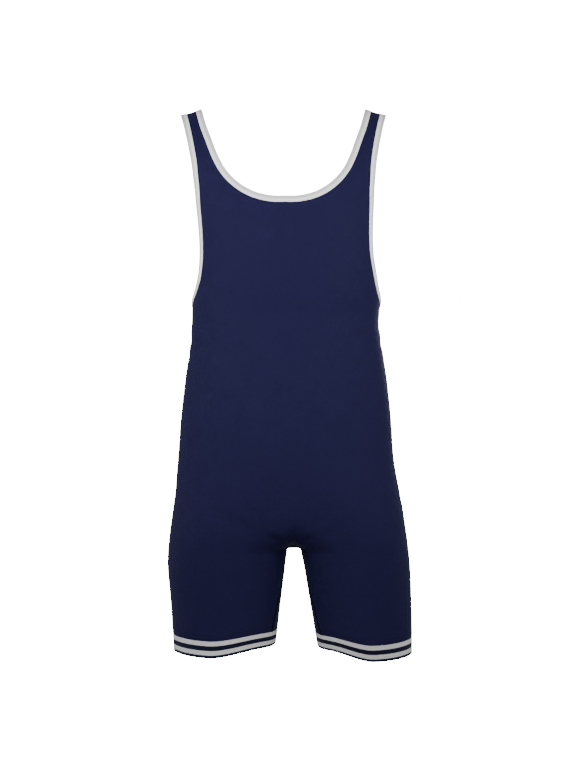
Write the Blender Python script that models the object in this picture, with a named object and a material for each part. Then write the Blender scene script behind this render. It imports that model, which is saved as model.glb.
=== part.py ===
"""Athletic singlet, filled out by an unseen wearer: front, back, bindings and leg elastic.

Metres, +Z up. The front faces -Y and the garment hangs from its shoulders: the origin lies midway
between the two strap tops. Left and right are the viewer's, looking at the front.

The cloth follows one closed form. A place on it is a turn, from 0 at the centre front over 90 at the
side to 180 at the centre back, and a height. Up to the chest the height is the level itself. Above the
chest it runs on as the length of an arc over the shoulder, so that front and back meet at the ridge.

Front and back are each cut in one. Their solids are parted by a hairline below the arms and one round
the top of each leg, so that every solid is a simple shell.
"""

import math
from collections import namedtuple

import bmesh
import bpy
from mathutils import Vector
from mathutils.kdtree import KDTree

# Cloth and tape
PANEL_WALL = 0.0012
SEAM_GAP = 0.0003
TAPE_WALL = 0.0010
TAPE_WIDTH = 0.0100
BAND_WALL = 0.0016
BAND_PROUD = 0.0002
BAND_WIDTH = 0.024
BAND_DRAWN_UP = 0.12

# Levels of the figure, down from the strap tops
CHEST = -0.185
HIP = -0.500
CROTCH = -0.675

# Shoulders
STRAP_MIDDLE = 0.142
SHOULDER_SLOPE = math.tan(math.radians(16))
RIDGE_BACK = 0.006

# Between the legs
CLOSING_DELAY = 6.0
CLOSING_EASE = 1.5
LEAST_CLOSING = 1e-6
ARCH_HALF = 0.0108
ARCH_ROUND = 0.003
ARCH_FADE = 5
INSEAM_TURN = 14.0
INSEAM_SWING = 0.13
ARC_SHARE = 0.8

# Solids of the front and of the back
RUNS = ("top", "body", "leg_left", "leg_right")
PANEL_SOLIDS = tuple((face, run) for face in ("front", "back") for run in RUNS)
ROWS_ABOVE_LEG_RUN = 3

# Columns and rows of cloth facets
BOWL = 8
STRAP_COLUMNS = 3
COLUMNS = BOWL + STRAP_COLUMNS
STRAP = 9
FLANK = 11
BAND_ROWS = 2
TRACE = 240
INSET_PASSES = 3
SLOPE_STEPS = (0.25, 0.0005)
FOLD_STEPS = 4
JOIN = 1e-6
SHARP_ANGLE = math.radians(50)

# The form's level sections: centre line, reach to each side, depth to the front and back, squareness
Section = namedtuple("Section", "level centre left right front back power")
SECTIONS = (
    Section(0.000, 0.0000, 0.2060, 0.2060, 0.098, 0.100, 2.30),
    Section(-0.075, 0.0008, 0.1860, 0.1860, 0.106, 0.110, 2.30),
    Section(-0.140, 0.0022, 0.1600, 0.1600, 0.111, 0.115, 2.30),
    Section(-0.215, 0.0046, 0.1470, 0.1470, 0.112, 0.113, 2.30),
    Section(-0.262, 0.0062, 0.1462, 0.1462, 0.109, 0.107, 2.30),
    Section(-0.291, 0.0050, 0.1460, 0.1460, 0.106, 0.102, 2.32),
    Section(-0.322, 0.0030, 0.1443, 0.1443, 0.103, 0.097, 2.35),
    Section(-0.353, 0.0038, 0.1468, 0.1468, 0.102, 0.095, 2.35),
    Section(-0.415, 0.0042, 0.1558, 0.1558, 0.103, 0.101, 2.35),
    Section(-0.477, 0.0040, 0.1625, 0.1625, 0.106, 0.113, 2.35),
    Section(-0.539, 0.0064, 0.1695, 0.1645, 0.108, 0.124, 2.30),
    Section(-0.601, 0.0113, 0.1800, 0.1708, 0.105, 0.124, 2.25),
    Section(-0.650, 0.0150, 0.1904, 0.1749, 0.099, 0.114, 2.20),
    Section(-0.694, 0.0165, 0.1955, 0.1786, 0.092, 0.104, 2.15),
    Section(-0.756, 0.0165, 0.1908, 0.1815, 0.084, 0.091, 2.10),
    Section(-0.818, 0.0165, 0.1868, 0.1826, 0.079, 0.082, 2.10),
    Section(-0.860, 0.0165, 0.1850, 0.1826, 0.077, 0.079, 2.10),
)

# Edges of the openings: distance from the centre line at each level, from the strap top down
Cut = namedtuple("Cut", "reach level")
NECK_FRONT = (
    Cut(0.1265, 0.000), Cut(0.1182, -0.030), Cut(0.1072, -0.062), Cut(0.0980, -0.0865),
    Cut(0.0900, -0.1025), Cut(0.0785, -0.118), Cut(0.0700, -0.1262), Cut(0.0597, -0.134),
    Cut(0.0450, -0.1418), Cut(0.0235, -0.1480), Cut(0.0000, -0.1498),
)
NECK_BACK = (
    Cut(0.1265, 0.000), Cut(0.1205, -0.030), Cut(0.1125, -0.060), Cut(0.1035, -0.090),
    Cut(0.0920, -0.122), Cut(0.0760, -0.155), Cut(0.0530, -0.184), Cut(0.0270, -0.199),
    Cut(0.0000, -0.203),
)
ARM_FRONT = (
    Cut(0.1600, 0.000), Cut(0.1512, -0.033), Cut(0.1454, -0.060), Cut(0.1405, -0.087),
    Cut(0.1370, -0.118), Cut(0.1346, -0.150), Cut(0.1324, -0.180), Cut(0.1315, -0.205),
    Cut(0.1328, -0.235), Cut(0.1370, -0.262), Cut(0.1410, -0.278),
)
ARM_BACK = (
    Cut(0.1600, 0.000), Cut(0.1520, -0.030), Cut(0.1425, -0.060), Cut(0.1310, -0.095),
    Cut(0.1200, -0.135), Cut(0.1125, -0.175), Cut(0.1110, -0.210), Cut(0.1160, -0.240),
    Cut(0.1265, -0.266), Cut(0.1370, -0.283),
)
UNDERARM = -0.2925
UNDERARM_SAG = 0.018
BOWL_END = -0.103
STRAP_BASE = -0.112

# Heights of the lower rows of facets, and the shares of the way from crotch to hem
WAIST_ROWS = 15
RISE_ROWS = (-0.528, -0.553, -0.577, -0.600, -0.620, -0.637, -0.650, -0.661, -0.669, -0.6735, CROTCH)
LEG_SHARES = (0.0045, 0.0155, 0.045, 0.11, 0.20, 0.34, 0.50, 0.67, 0.84, 1.0)

# Legs: how far the inside moves out for each metre down, the hem's level at the outer side, how much
# higher it is at the inseam, and how far the band's lower edge is drawn in at the front
Leg = namedtuple("Leg", "name side spread hem inner_rise tuck")
LEGS = (
    Leg("left", -1, 0.122, -0.8085, 0.0095, 0.000),
    Leg("right", 1, 0.172, -0.8145, 0.0120, 0.005),
)
HEM_BACK_RISE = 0.004
HEM_RISE_START = -0.3
HEM_RISE_SPAN = 1.1

# Finishes: base colour, roughness
NAVY = ((0.0125, 0.0150, 0.0480, 1.0), 0.50)
WHITE = ((0.720, 0.725, 0.740, 1.0), 0.62)
STRIPED = ((0.420, 0.425, 0.450, 1.0), 0.70)


def clear_scene():
    for item in list(bpy.data.objects):
        bpy.data.objects.remove(item, do_unlink=True)


def ease(share):
    return share * share * (3 - 2 * share)


def smooth_read(knots, values, place, first=None, last=None):
    """Read a smooth curve through values at rising knots, with optional slopes at its two ends."""
    final = len(knots) - 1
    place = min(max(place, knots[0]), knots[final])
    low = 0
    while low < final - 1 and knots[low + 1] < place:
        low += 1

    def rate(low_index):
        return (values[low_index + 1] - values[low_index]) / (knots[low_index + 1] - knots[low_index])

    def slope(index):
        if index == 0:
            return rate(0) if first is None else first
        if index == final:
            return rate(final - 1) if last is None else last
        before = knots[index] - knots[index - 1]
        after = knots[index + 1] - knots[index]
        return (rate(index - 1) * after + rate(index) * before) / (before + after)

    span = knots[low + 1] - knots[low]
    share = (place - knots[low]) / span
    bend = share * (1 - share) * ((1 - share) * slope(low) - share * slope(low + 1)) * span
    return values[low] + ease(share) * (values[low + 1] - values[low]) + bend


SECTION_LEVELS = tuple(-row.level for row in SECTIONS)
SECTION_COLUMNS = {name: tuple(getattr(row, name) for row in SECTIONS) for name in Section._fields}


def section(level):
    return {name: smooth_read(SECTION_LEVELS, values, -level) for name, values in SECTION_COLUMNS.items()}


def height_of(level):
    """Height on the form of a level: the level itself, or the arc's length above the chest."""
    if level <= CHEST:
        return level
    return CHEST - CHEST * math.asin(min(1.0, 1 - level / CHEST))


RIDGE = height_of(0.0)


def leg_spread(side, level):
    """How far the inside of a leg has moved out from the centre line below the crotch."""
    return next(leg.spread for leg in LEGS if leg.side == side) * max(0.0, CROTCH - level)


def arch(level):
    """Half width of the small round arch at the crotch, full a little way down."""
    bend = 1 - min(1.0, max(0.0, CROTCH - level) / ARCH_ROUND)
    return ARCH_HALF * math.sqrt(1 - bend ** 2)


def level_outline(side, share, level, row, depth):
    """Distance from the centre line and fraction of the depth at a share of the way to the side.

    Above the hip the outline is a quarter of a superellipse. Down to the crotch its middle moves out to
    the leg's axis, and an inner arc closes in behind it until the leg is a tube of its own.
    """
    reach = row["left"] if side < 0 else row["right"]
    inside = leg_spread(side, level)
    sunk = min(1.0, max(0.0, (HIP - level) / (HIP - CROTCH)))
    closing = max(LEAST_CLOSING, 1 - (1 - sunk ** CLOSING_DELAY) ** CLOSING_EASE)
    axis = ease(sunk) * (reach + inside) / 2
    radius = reach - axis
    outer_length = ARC_SHARE * (radius + depth)
    inner_length = axis - inside + closing * (ARC_SHARE * (axis - inside + depth) - axis + inside)
    split_share = inner_length / (inner_length + outer_length) if sunk else 0.0
    if share >= split_share or sunk == 0:
        angle = math.pi / 2 * (1 - (share - split_share) / (1 - split_share))
        swing = math.copysign(abs(math.cos(angle)) ** (2 / row["power"]), math.cos(angle))
        return axis + radius * swing, abs(math.sin(angle)) ** (2 / row["power"])
    start = math.acos(closing ** (row["power"] / 2))
    angle = start + (math.pi / 2 - start) * share / split_share
    swing = math.cos(angle) ** (2 / row["power"])
    out = axis - (axis - inside) / closing * swing + arch(level) * swing ** ARCH_FADE
    return out, math.sin(angle) ** (2 / row["power"])


def form(side, turn, height):
    """Point of the form for one side of the figure, -1 left or 1 right."""
    arc = max(0.0, height - CHEST) / -CHEST
    lift = math.sin(arc)
    level = height if height <= CHEST else CHEST - CHEST * lift
    row = section(level)
    turn = turn % 180 if level < CROTCH else turn
    depth = row["front"] if turn <= 90 else row["back"]
    out, fraction = level_outline(side, 1 - abs(90 - turn) / 90, level, row, depth)
    facing = 1 if turn > 90 else -1
    y = facing * depth * math.cos(arc) * fraction + RIDGE_BACK * lift ** 2
    return Vector((row["centre"] + side * out, y, level - SHOULDER_SLOPE * (out - STRAP_MIDDLE) * lift))


def turn_of(cut, back):
    """Turn at which the form lies a cut's distance from the centre line."""
    row = section(cut.level)
    turn = math.degrees(math.asin(min(1.0, (cut.reach / row["right"]) ** (row["power"] / 2))))
    return 180 - turn if back else turn


def trace(points, first_slopes, last_slopes):
    """Closely spaced (turn, height) along a smooth line through points, with its length so far."""
    knots = [0.0]
    for before, after in zip(points, points[1:]):
        knots.append(knots[-1] + (form(1, *after) - form(1, *before)).length)
    line = []
    travelled = 0.0
    previous = None
    for step in range(TRACE + 1):
        place = knots[-1] * step / TRACE
        turn, height = (
            smooth_read(knots, values, place, first, last)
            for values, first, last in zip(zip(*points), first_slopes, last_slopes)
        )
        here = form(1, turn, height)
        travelled += (here - previous).length if previous else 0.0
        previous = here
        line.append((travelled, turn, height))
    return line


def neck_line(back):
    """Neck opening's edge from the centre to the shoulder ridge."""
    cuts = NECK_BACK if back else NECK_FRONT
    points = [(turn_of(cut, back), height_of(cut.level)) for cut in reversed(cuts)]
    return trace(points, (None, 0.0), (0.0, None))


def arm_line(back):
    """Armhole's edge from the shoulder ridge to the side seam."""
    cuts = ARM_BACK if back else ARM_FRONT
    points = [(turn_of(cut, back), height_of(cut.level)) for cut in cuts] + [(90.0, UNDERARM)]
    return trace(points, (0.0, None), (None, 0.0))


def length_at(line, level):
    """Length along a traced line at which it crosses a level."""
    height = height_of(level)
    for before, after in zip(line, line[1:]):
        if (before[2] - height) * (after[2] - height) <= 0 and before[2] != after[2]:
            share = (height - before[2]) / (after[2] - before[2])
            return before[0] + share * (after[0] - before[0])
    raise ValueError("the line does not cross the level")


def inset(turn, height, heading, distance):
    """Move a place on the form away from an edge with the given heading, square to it."""
    turn_step, height_step = SLOPE_STEPS
    moved = (0.0, 0.0)
    for _ in range(INSET_PASSES):
        mid_turn, mid_height = turn + moved[0] / 2, height + moved[1] / 2
        by_turn = form(1, mid_turn + turn_step, mid_height)
        by_turn = (by_turn - form(1, mid_turn - turn_step, mid_height)) / (2 * turn_step)
        top = min(mid_height + height_step, RIDGE)
        by_height = form(1, mid_turn, top) - form(1, mid_turn, top - 2 * height_step)
        by_height /= 2 * height_step
        edge = by_turn * heading[0] + by_height * heading[1]
        move = (by_height.dot(edge), -by_turn.dot(edge))
        scale = distance / (by_turn * move[0] + by_height * move[1]).length
        moved = (move[0] * scale, move[1] * scale)
    return (turn + moved[0], height + moved[1])


def stations(line, spans, back):
    """Cloth edge and tape edge at even places along spans of a traced line.

    Each span is (start, end, count) in lengths. The cloth ends inside the folded tape.
    """
    places = [spans[0][0]]
    for start, end, count in spans:
        places += [start + (end - start) * (step + 1) / count for step in range(count)]
    lengths = [row[0] for row in line]
    edges, folds = [], []
    raw_edge = PANEL_WALL / 2 + SEAM_GAP + TAPE_WALL
    for place in places:
        low = max(0, min(len(line) - 2, sum(length < place for length in lengths) - 1))
        before, after = line[low], line[low + 1]
        share = (place - before[0]) / (after[0] - before[0])
        turn, height = (before[axis] + share * (after[axis] - before[axis]) for axis in (1, 2))
        heading = (after[1] - before[1], after[2] - before[2])
        sense = -1 if back else 1
        edges.append(inset(turn, height, heading, sense * raw_edge))
        folds.append(inset(turn, height, heading, sense * TAPE_WIDTH))
    return edges, folds


def pin(points, index, turn=None, height=None):
    """Hold one place of a line on a seam's turn or height."""
    was_turn, was_height = points[index]
    points[index] = (was_turn if turn is None else turn, was_height if height is None else height)


def mix(first, second, share):
    """Place a share of the way from one place to another."""
    return tuple(a + (b - a) * share for a, b in zip(first, second))


def openings(back):
    """Edges of the neck and the armhole on either half of a panel, and the tape's edges on it."""
    neck, arm = neck_line(back), arm_line(back)
    corner, base = length_at(neck, BOWL_END), length_at(arm, STRAP_BASE)
    neck_spans = ((0.0, corner, BOWL), (corner, neck[-1][0], STRAP))
    arm_spans = ((0.0, base, STRAP), (base, arm[-1][0], FLANK))
    neck_lines = stations(neck, neck_spans, back)
    arm_lines = stations(arm, arm_spans, back)
    for line in neck_lines:
        pin(line, 0, turn=180.0 if back else 0.0)
        pin(line, -1, height=RIDGE)
    for line in arm_lines:
        pin(line, 0, height=RIDGE)
        pin(line, -1, turn=90.0)
    return neck_lines, arm_lines


def inseam_turn(level):
    """Turn of the inseam, which swings forward from the crotch down the inner leg."""
    share = min(1.0, max(0.0, (CROTCH - level) / INSEAM_SWING))
    return INSEAM_TURN * ease(share)


def leg_turn(column, level, back):
    """Turn of a column below the arms, from the centre or inseam to the side seam."""
    start = inseam_turn(level) + (180 if back else 0)
    return start + (90 - start) * column / COLUMNS


def inner_share(leg, point):
    """How near a point at the hem is to the inseam, from 0 at the outer half to 1."""
    reach = section(leg.hem)["left" if leg.side < 0 else "right"]
    inside = leg_spread(leg.side, leg.hem) + ARCH_HALF
    out = leg.side * (point.x - section(leg.hem)["centre"])
    inward = (reach + inside - 2 * out) / (reach - inside)
    return ease(min(1.0, max(0.0, (inward - HEM_RISE_START) / HEM_RISE_SPAN)))


def hem_height(leg, column, back):
    """Level of the hem at one column."""
    point = form(leg.side, leg_turn(column, leg.hem, back), leg.hem)
    behind = max(0.0, point.y) / section(leg.hem)["back"]
    return leg.hem + leg.inner_rise * inner_share(leg, point) + HEM_BACK_RISE * behind


def half_panel(side, back):
    """Grids of (turn, height) for one half of a panel with their runs.

    Each grid goes from its top row down, and each row from the centre to the side.
    """
    (neck_edge, neck_fold), (arm_edge, arm_fold) = openings(back)
    grids = [("top", [neck_edge, neck_fold]), ("top", [arm_edge, arm_fold])]

    strap = [
        [mix(neck_fold[BOWL + row], arm_fold[STRAP - row], column / STRAP_COLUMNS)
         for column in range(STRAP_COLUMNS + 1)]
        for row in range(STRAP, -1, -1)
    ]
    grids.append(("top", strap))

    top = neck_fold[:BOWL] + strap[-1]
    centre_turn = 180 if back else 0
    underarm = arm_fold[-1][1]
    torso = []
    for row in range(FLANK + 1):
        edge_turn, edge_height = arm_fold[STRAP + row]
        evened = row / FLANK
        sunk = (edge_height - top[-1][1]) / (underarm - top[-1][1])
        cells = []
        for column, (turn, height) in enumerate(top):
            share = column / COLUMNS
            spread = (turn - centre_turn) / (top[-1][0] - centre_turn)
            spread += (share - spread) * evened
            down = evened + (sunk - evened) * share ** 2
            fall = underarm - UNDERARM_SAG * (1 - share ** 4) - height
            cells.append((centre_turn + (edge_turn - centre_turn) * spread, height + fall * down))
        torso.append(cells)
    grids.append(("top", torso))

    waist = underarm - UNDERARM_SAG
    levels = [waist + (RISE_ROWS[0] - waist) * row / WAIST_ROWS for row in range(1, WAIST_ROWS)]
    lower = [torso[-1]] + [
        [(leg_turn(column, level, back), level) for column in range(COLUMNS + 1)]
        for level in levels + list(RISE_ROWS)
    ]
    leg = next(leg for leg in LEGS if leg.side == side)
    hems = [hem_height(leg, column, back) for column in range(COLUMNS + 1)]
    for share in LEG_SHARES:
        row_levels = [CROTCH + (hem - CROTCH) * share for hem in hems]
        lower.append([(leg_turn(column, level, back), level) for column, level in enumerate(row_levels)])
    parting = len(lower) - len(LEG_SHARES) + ROWS_ABOVE_LEG_RUN - 1
    grids += [("body", lower[:parting + 1]), ("leg_" + leg.name, lower[parting:])]
    return grids


def shorter_first(a, b, c, d):
    """Whether the diagonal from the first corner is the shorter one."""
    return (a - c).length < (b - d).length


def split(corners, from_first):
    """Two triangles of a four-cornered facet, cut from its first or its second corner."""
    a, b, c, d = corners
    return ([a, b, c], [a, c, d]) if from_first else ([b, c, d], [b, d, a])


def build_skin():
    """One sheet of the whole outer surface, its faces marked with the number of their solid."""
    skin = bmesh.new()
    piece = skin.faces.layers.int.new("piece")
    for back in (False, True):
        for side in (-1, 1):
            turned = (side < 0) != back
            for run, grid in half_panel(side, back):
                mark = PANEL_SOLIDS.index(("back" if back else "front", run))
                rows = [[skin.verts.new(form(side, *place)) for place in row] for row in grid]
                for upper, under in zip(rows, rows[1:]):
                    for column in range(len(upper) - 1):
                        corners = [upper[column], under[column], under[column + 1], upper[column + 1]]
                        for corner_set in split(corners, shorter_first(*(vert.co for vert in corners))):
                            face = skin.faces.new(corner_set[::-1] if turned else corner_set)
                            face[piece] = mark
    bmesh.ops.remove_doubles(skin, verts=skin.verts, dist=JOIN)
    skin.normal_update()
    return skin, piece


def seam_shift(vert, chosen):
    """Shift of a corner into its solid, half a gap from each edge that the solid shares with another."""
    inwards = []
    for edge in vert.link_edges:
        own = [face for face in edge.link_faces if face in chosen]
        if len(own) != 1 or len(edge.link_faces) == 1:
            continue
        along = (edge.other_vert(vert).co - vert.co).normalized()
        inward = own[0].calc_center_median() - vert.co
        inward -= vert.normal * inward.dot(vert.normal)
        inwards.append((inward - along * inward.dot(along)).normalized())
    if not inwards:
        return Vector()
    first, last = inwards[0], inwards[-1]
    return (first + last) * (SEAM_GAP / 2 / (1 + first.dot(last)))


def thicken(sheet, chosen, shift, proud, wall):
    """Closed wall on chosen faces of a sheet: its outer side proud of the sheet, its inner side a wall in."""
    solid = bmesh.new()
    outer, inner = {}, {}
    for vert in {vert for face in chosen for vert in face.verts}:
        place = vert.co + shift(vert)
        outer[vert] = solid.verts.new(place + vert.normal * proud)
        inner[vert] = solid.verts.new(place + vert.normal * (proud - wall))
    for face in chosen:
        solid.faces.new([outer[vert] for vert in face.verts])
        solid.faces.new([inner[vert] for vert in reversed(face.verts)])
        for loop in face.loops:
            if sum(other in chosen for other in loop.edge.link_faces) == 1:
                start, end = loop.vert, loop.link_loop_next.vert
                solid.faces.new([outer[end], outer[start], inner[start], inner[end]])
    return solid


def finish(solid, name, colour, roughness):
    """Named object with its own material from a closed solid."""
    bmesh.ops.recalc_face_normals(solid, faces=solid.faces)
    mesh = bpy.data.meshes.new(name)
    solid.to_mesh(mesh)
    solid.free()
    mesh.shade_smooth()
    mesh.set_sharp_from_angle(angle=SHARP_ANGLE)
    material = bpy.data.materials.new(name + "_cloth")
    material.use_nodes = True
    shader = material.node_tree.nodes["Principled BSDF"]
    shader.inputs["Base Color"].default_value = colour
    shader.inputs["Roughness"].default_value = roughness
    shader.inputs["Metallic"].default_value = 0.0
    mesh.materials.append(material)
    thing = bpy.data.objects.new(name, mesh)
    bpy.context.scene.collection.objects.link(thing)
    return thing


def build_panels(skin, piece):
    for mark, (face_name, run) in enumerate(PANEL_SOLIDS):
        chosen = {face for face in skin.faces if face[piece] == mark}
        solid = thicken(skin, chosen, lambda vert: seam_shift(vert, chosen), 0.0, PANEL_WALL)
        finish(solid, face_name + "_" + run, *NAVY)


def tape_section(edge, fold, edge_normal, fold_normal):
    """Corners of the folded tape round the cloth's edge, from its outer face round to its inner one."""
    beyond = edge - fold
    beyond = (beyond - edge_normal * beyond.dot(edge_normal)).normalized()
    near, far = SEAM_GAP, SEAM_GAP + TAPE_WALL
    middle = edge - edge_normal * (PANEL_WALL / 2)
    radius = PANEL_WALL / 2 + far
    round_fold = [
        middle + (edge_normal * math.cos(angle) + beyond * math.sin(angle)) * radius
        for angle in (math.pi * step / FOLD_STEPS for step in range(FOLD_STEPS + 1))
    ]
    return (
        [fold + fold_normal * far] + round_fold
        + [fold - fold_normal * (PANEL_WALL + far), fold - fold_normal * (PANEL_WALL + near)]
        + [edge + beyond * near - edge_normal * (PANEL_WALL + near), edge + (beyond + edge_normal) * near]
        + [fold + fold_normal * near]
    )


# Which corners of the tape's section lie at the cloth's edge, the rest at the tape's own edge
AT_EDGE = (False,) + (True,) * (FOLD_STEPS + 1) + (False, False, True, True, False)


def build_tape(skin_point, loop, name):
    """Closed loop of folded tape on (side, edge place, fold place) stations."""
    solid = bmesh.new()
    rings = []
    for side, edge_place, fold_place in loop:
        edge, edge_normal = skin_point(form(side, *edge_place))
        fold, fold_normal = skin_point(form(side, *fold_place))
        corners = tape_section(edge, fold, edge_normal, fold_normal)
        rings.append((edge, fold, [solid.verts.new(corner) for corner in corners]))
    for (edge, fold, here), (next_edge, next_fold, following) in zip(rings, rings[1:] + rings[:1]):
        edge_to_fold = shorter_first(edge, fold, next_fold, next_edge)
        for index in range(len(here)):
            other = (index + 1) % len(here)
            corners = [here[index], here[other], following[other], following[index]]
            for corner_set in split(corners, edge_to_fold == AT_EDGE[index]):
                solid.faces.new(corner_set)
    finish(solid, name, *WHITE)


def build_tapes(skin):
    tree = KDTree(len(skin.verts))
    for index, vert in enumerate(skin.verts):
        tree.insert(vert.co, index)
    tree.balance()
    skin.verts.ensure_lookup_table()

    def skin_point(point):
        vert = skin.verts[tree.find(point)[1]]
        return vert.co.copy(), vert.normal.copy()

    cuts = {back: openings(back) for back in (False, True)}

    def half(side, back, opening):
        edges, folds = cuts[back][opening]
        return [(side, edge, fold) for edge, fold in zip(edges, folds)]

    neck = half(1, False, 0) + half(1, True, 0)[-2::-1] + half(-1, True, 0)[1:] + half(-1, False, 0)[-2:0:-1]
    build_tape(skin_point, neck, "neck_binding")
    for leg in LEGS:
        armhole = half(leg.side, False, 1) + half(leg.side, True, 1)[-2:0:-1]
        build_tape(skin_point, armhole, "armhole_binding_" + leg.name)


def build_band(leg):
    """Elastic band that carries a leg on below the hem."""
    ends = [(column, False) for column in range(COLUMNS + 1)]
    ends += [(column, True) for column in range(COLUMNS - 1, 0, -1)]
    sheet = bmesh.new()
    rows = []
    for row in range(BAND_ROWS + 1):
        share = row / BAND_ROWS
        points = []
        for column, back in ends:
            turn, level = leg_turn(column, leg.hem, back), hem_height(leg, column, back)
            shortened = 1 - BAND_DRAWN_UP * inner_share(leg, form(leg.side, turn, leg.hem))
            point = form(leg.side, turn, level - SEAM_GAP - BAND_WIDTH * share * shortened)
            point.y += leg.tuck * share * max(0.0, -point.y) / section(leg.hem)["front"]
            points.append(sheet.verts.new(point))
        rows.append(points)
    for upper, under in zip(rows, rows[1:]):
        for column in range(len(upper)):
            following = (column + 1) % len(upper)
            corners = [upper[column], under[column], under[following], upper[following]]
            sheet.faces.new(corners if leg.side > 0 else corners[::-1])
    sheet.normal_update()
    finish(thicken(sheet, set(sheet.faces), lambda vert: Vector(), BAND_PROUD, BAND_WALL),
           "leg_band_" + leg.name, *STRIPED)
    sheet.free()


def main():
    clear_scene()
    skin, piece = build_skin()
    build_panels(skin, piece)
    build_tapes(skin)
    for leg in LEGS:
        build_band(leg)
    skin.free()


main()
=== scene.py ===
"""Athletic singlet: knit panels, folded binding, striped elastic and stitching.

Metres, +Z up. The front faces -Y and the origin lies midway between the two strap tops. Left and right
are the viewer's, looking at the front.

The cloth follows one closed form. A place on it is a turn, from 0 at the centre front over 90 at the
side to 180 at the centre back, and a height. Up to the chest the height is the level itself. Above the
chest it runs on as the length of an arc over the shoulder, so that front and back meet at the ridge.
"""

import math
from collections import namedtuple
from functools import lru_cache, partial

import bmesh
import bpy
import numpy as np
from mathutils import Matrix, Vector, noise
from mathutils.bvhtree import BVHTree
from mathutils.kdtree import KDTree


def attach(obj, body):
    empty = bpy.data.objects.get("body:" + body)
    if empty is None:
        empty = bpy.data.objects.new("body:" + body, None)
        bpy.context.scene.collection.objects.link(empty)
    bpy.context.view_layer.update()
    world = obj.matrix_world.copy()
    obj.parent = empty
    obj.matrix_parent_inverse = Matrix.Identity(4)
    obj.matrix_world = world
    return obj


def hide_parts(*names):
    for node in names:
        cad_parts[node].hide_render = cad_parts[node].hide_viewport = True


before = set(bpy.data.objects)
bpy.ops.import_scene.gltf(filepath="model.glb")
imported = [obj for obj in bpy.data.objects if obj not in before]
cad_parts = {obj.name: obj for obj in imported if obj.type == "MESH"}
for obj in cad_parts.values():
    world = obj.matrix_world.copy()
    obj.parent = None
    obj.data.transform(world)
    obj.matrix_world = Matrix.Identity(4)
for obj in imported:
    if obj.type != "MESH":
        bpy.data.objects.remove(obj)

bl_info = {
    "name": "Athletic singlet",
    "version": (1, 0, 0),
    "blender": (4, 5, 0),
    "location": "3D View > Sidebar > Singlet",
    "description": "Builds a filled-out athletic singlet with bound edges and striped leg elastic",
    "category": "Object",
}

ROOT = "root"

# Levels of the figure, down from the strap tops
CHEST = -0.185
HIP = -0.500
CROTCH = -0.675

# Shoulders
STRAP_MIDDLE = 0.142
SHOULDER_SLOPE = math.tan(math.radians(16))
RIDGE_BACK = 0.006

# Between the legs
CLOSING_DELAY = 6.0
CLOSING_EASE = 1.5
LEAST_CLOSING = 1e-6
ARCH_HALF = 0.0102
ARCH_ROUND = 0.0018
ARCH_FADE = 5
INSEAM_TURN = 19.0
INSEAM_SWING = 0.135
INSEAM_HASTE = 0.7
ARC_SHARE = 0.8

# The gusset between the legs rises forward: its middle, its rise for each metre and how far it fades out
GUSSET_MIDDLE = (0.0162, -0.677)
GUSSET_RISE = 0.105
GUSSET_REACH = (0.034, 0.090, 0.032)

# Solids of the front and of the back that one cloth dresses
RUNS = ("top", "body", "leg_left", "leg_right")

# Columns and rows of cloth facets, each split again into this many
FINE = 4
BOWL = 8 * FINE
STRAP_COLUMNS = 3 * FINE
COLUMNS = BOWL + STRAP_COLUMNS
STRAP = 9 * FINE
FLANK = 11 * FINE
WAIST_ROWS = 15 * FINE

# Steps along an opening's edge, passes and small steps that set a place back from it, how near corners
# join, and the angle from which an edge is sharp
TRACE = 240
INSET_PASSES = 3
SLOPE_STEPS = (0.25, 0.0005)
JOIN = 1e-6
SHARP_ANGLE = math.radians(60)

# The form's level sections: centre line, reach to each side, depth to the front and back, squareness
Section = namedtuple("Section", "level centre left right front back power")
SECTIONS = tuple(Section(*row) for row in (
    (0.000, 0.0000, 0.2060, 0.2060, 0.098, 0.100, 2.30),
    (-0.075, 0.0008, 0.1860, 0.1860, 0.106, 0.110, 2.30),
    (-0.140, 0.0022, 0.1600, 0.1600, 0.111, 0.115, 2.30),
    (-0.215, 0.0046, 0.1470, 0.1470, 0.112, 0.113, 2.30),
    (-0.262, 0.0062, 0.1462, 0.1462, 0.109, 0.107, 2.30),
    (-0.291, 0.0050, 0.1460, 0.1460, 0.106, 0.102, 2.32),
    (-0.322, 0.0030, 0.1443, 0.1443, 0.103, 0.097, 2.35),
    (-0.353, 0.0038, 0.1468, 0.1468, 0.102, 0.095, 2.35),
    (-0.415, 0.0042, 0.1558, 0.1558, 0.103, 0.101, 2.35),
    (-0.477, 0.0040, 0.1625, 0.1625, 0.106, 0.113, 2.35),
    (-0.539, 0.0064, 0.1695, 0.1645, 0.108, 0.124, 2.30),
    (-0.601, 0.0113, 0.1800, 0.1708, 0.105, 0.124, 2.25),
    (-0.650, 0.0150, 0.1904, 0.1749, 0.099, 0.114, 2.20),
    (-0.694, 0.0165, 0.1955, 0.1786, 0.092, 0.104, 2.15),
    (-0.756, 0.0165, 0.1908, 0.1815, 0.084, 0.091, 2.10),
    (-0.818, 0.0165, 0.1868, 0.1826, 0.079, 0.082, 2.10),
    (-0.860, 0.0165, 0.1850, 0.1826, 0.077, 0.079, 2.10),
))

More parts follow.
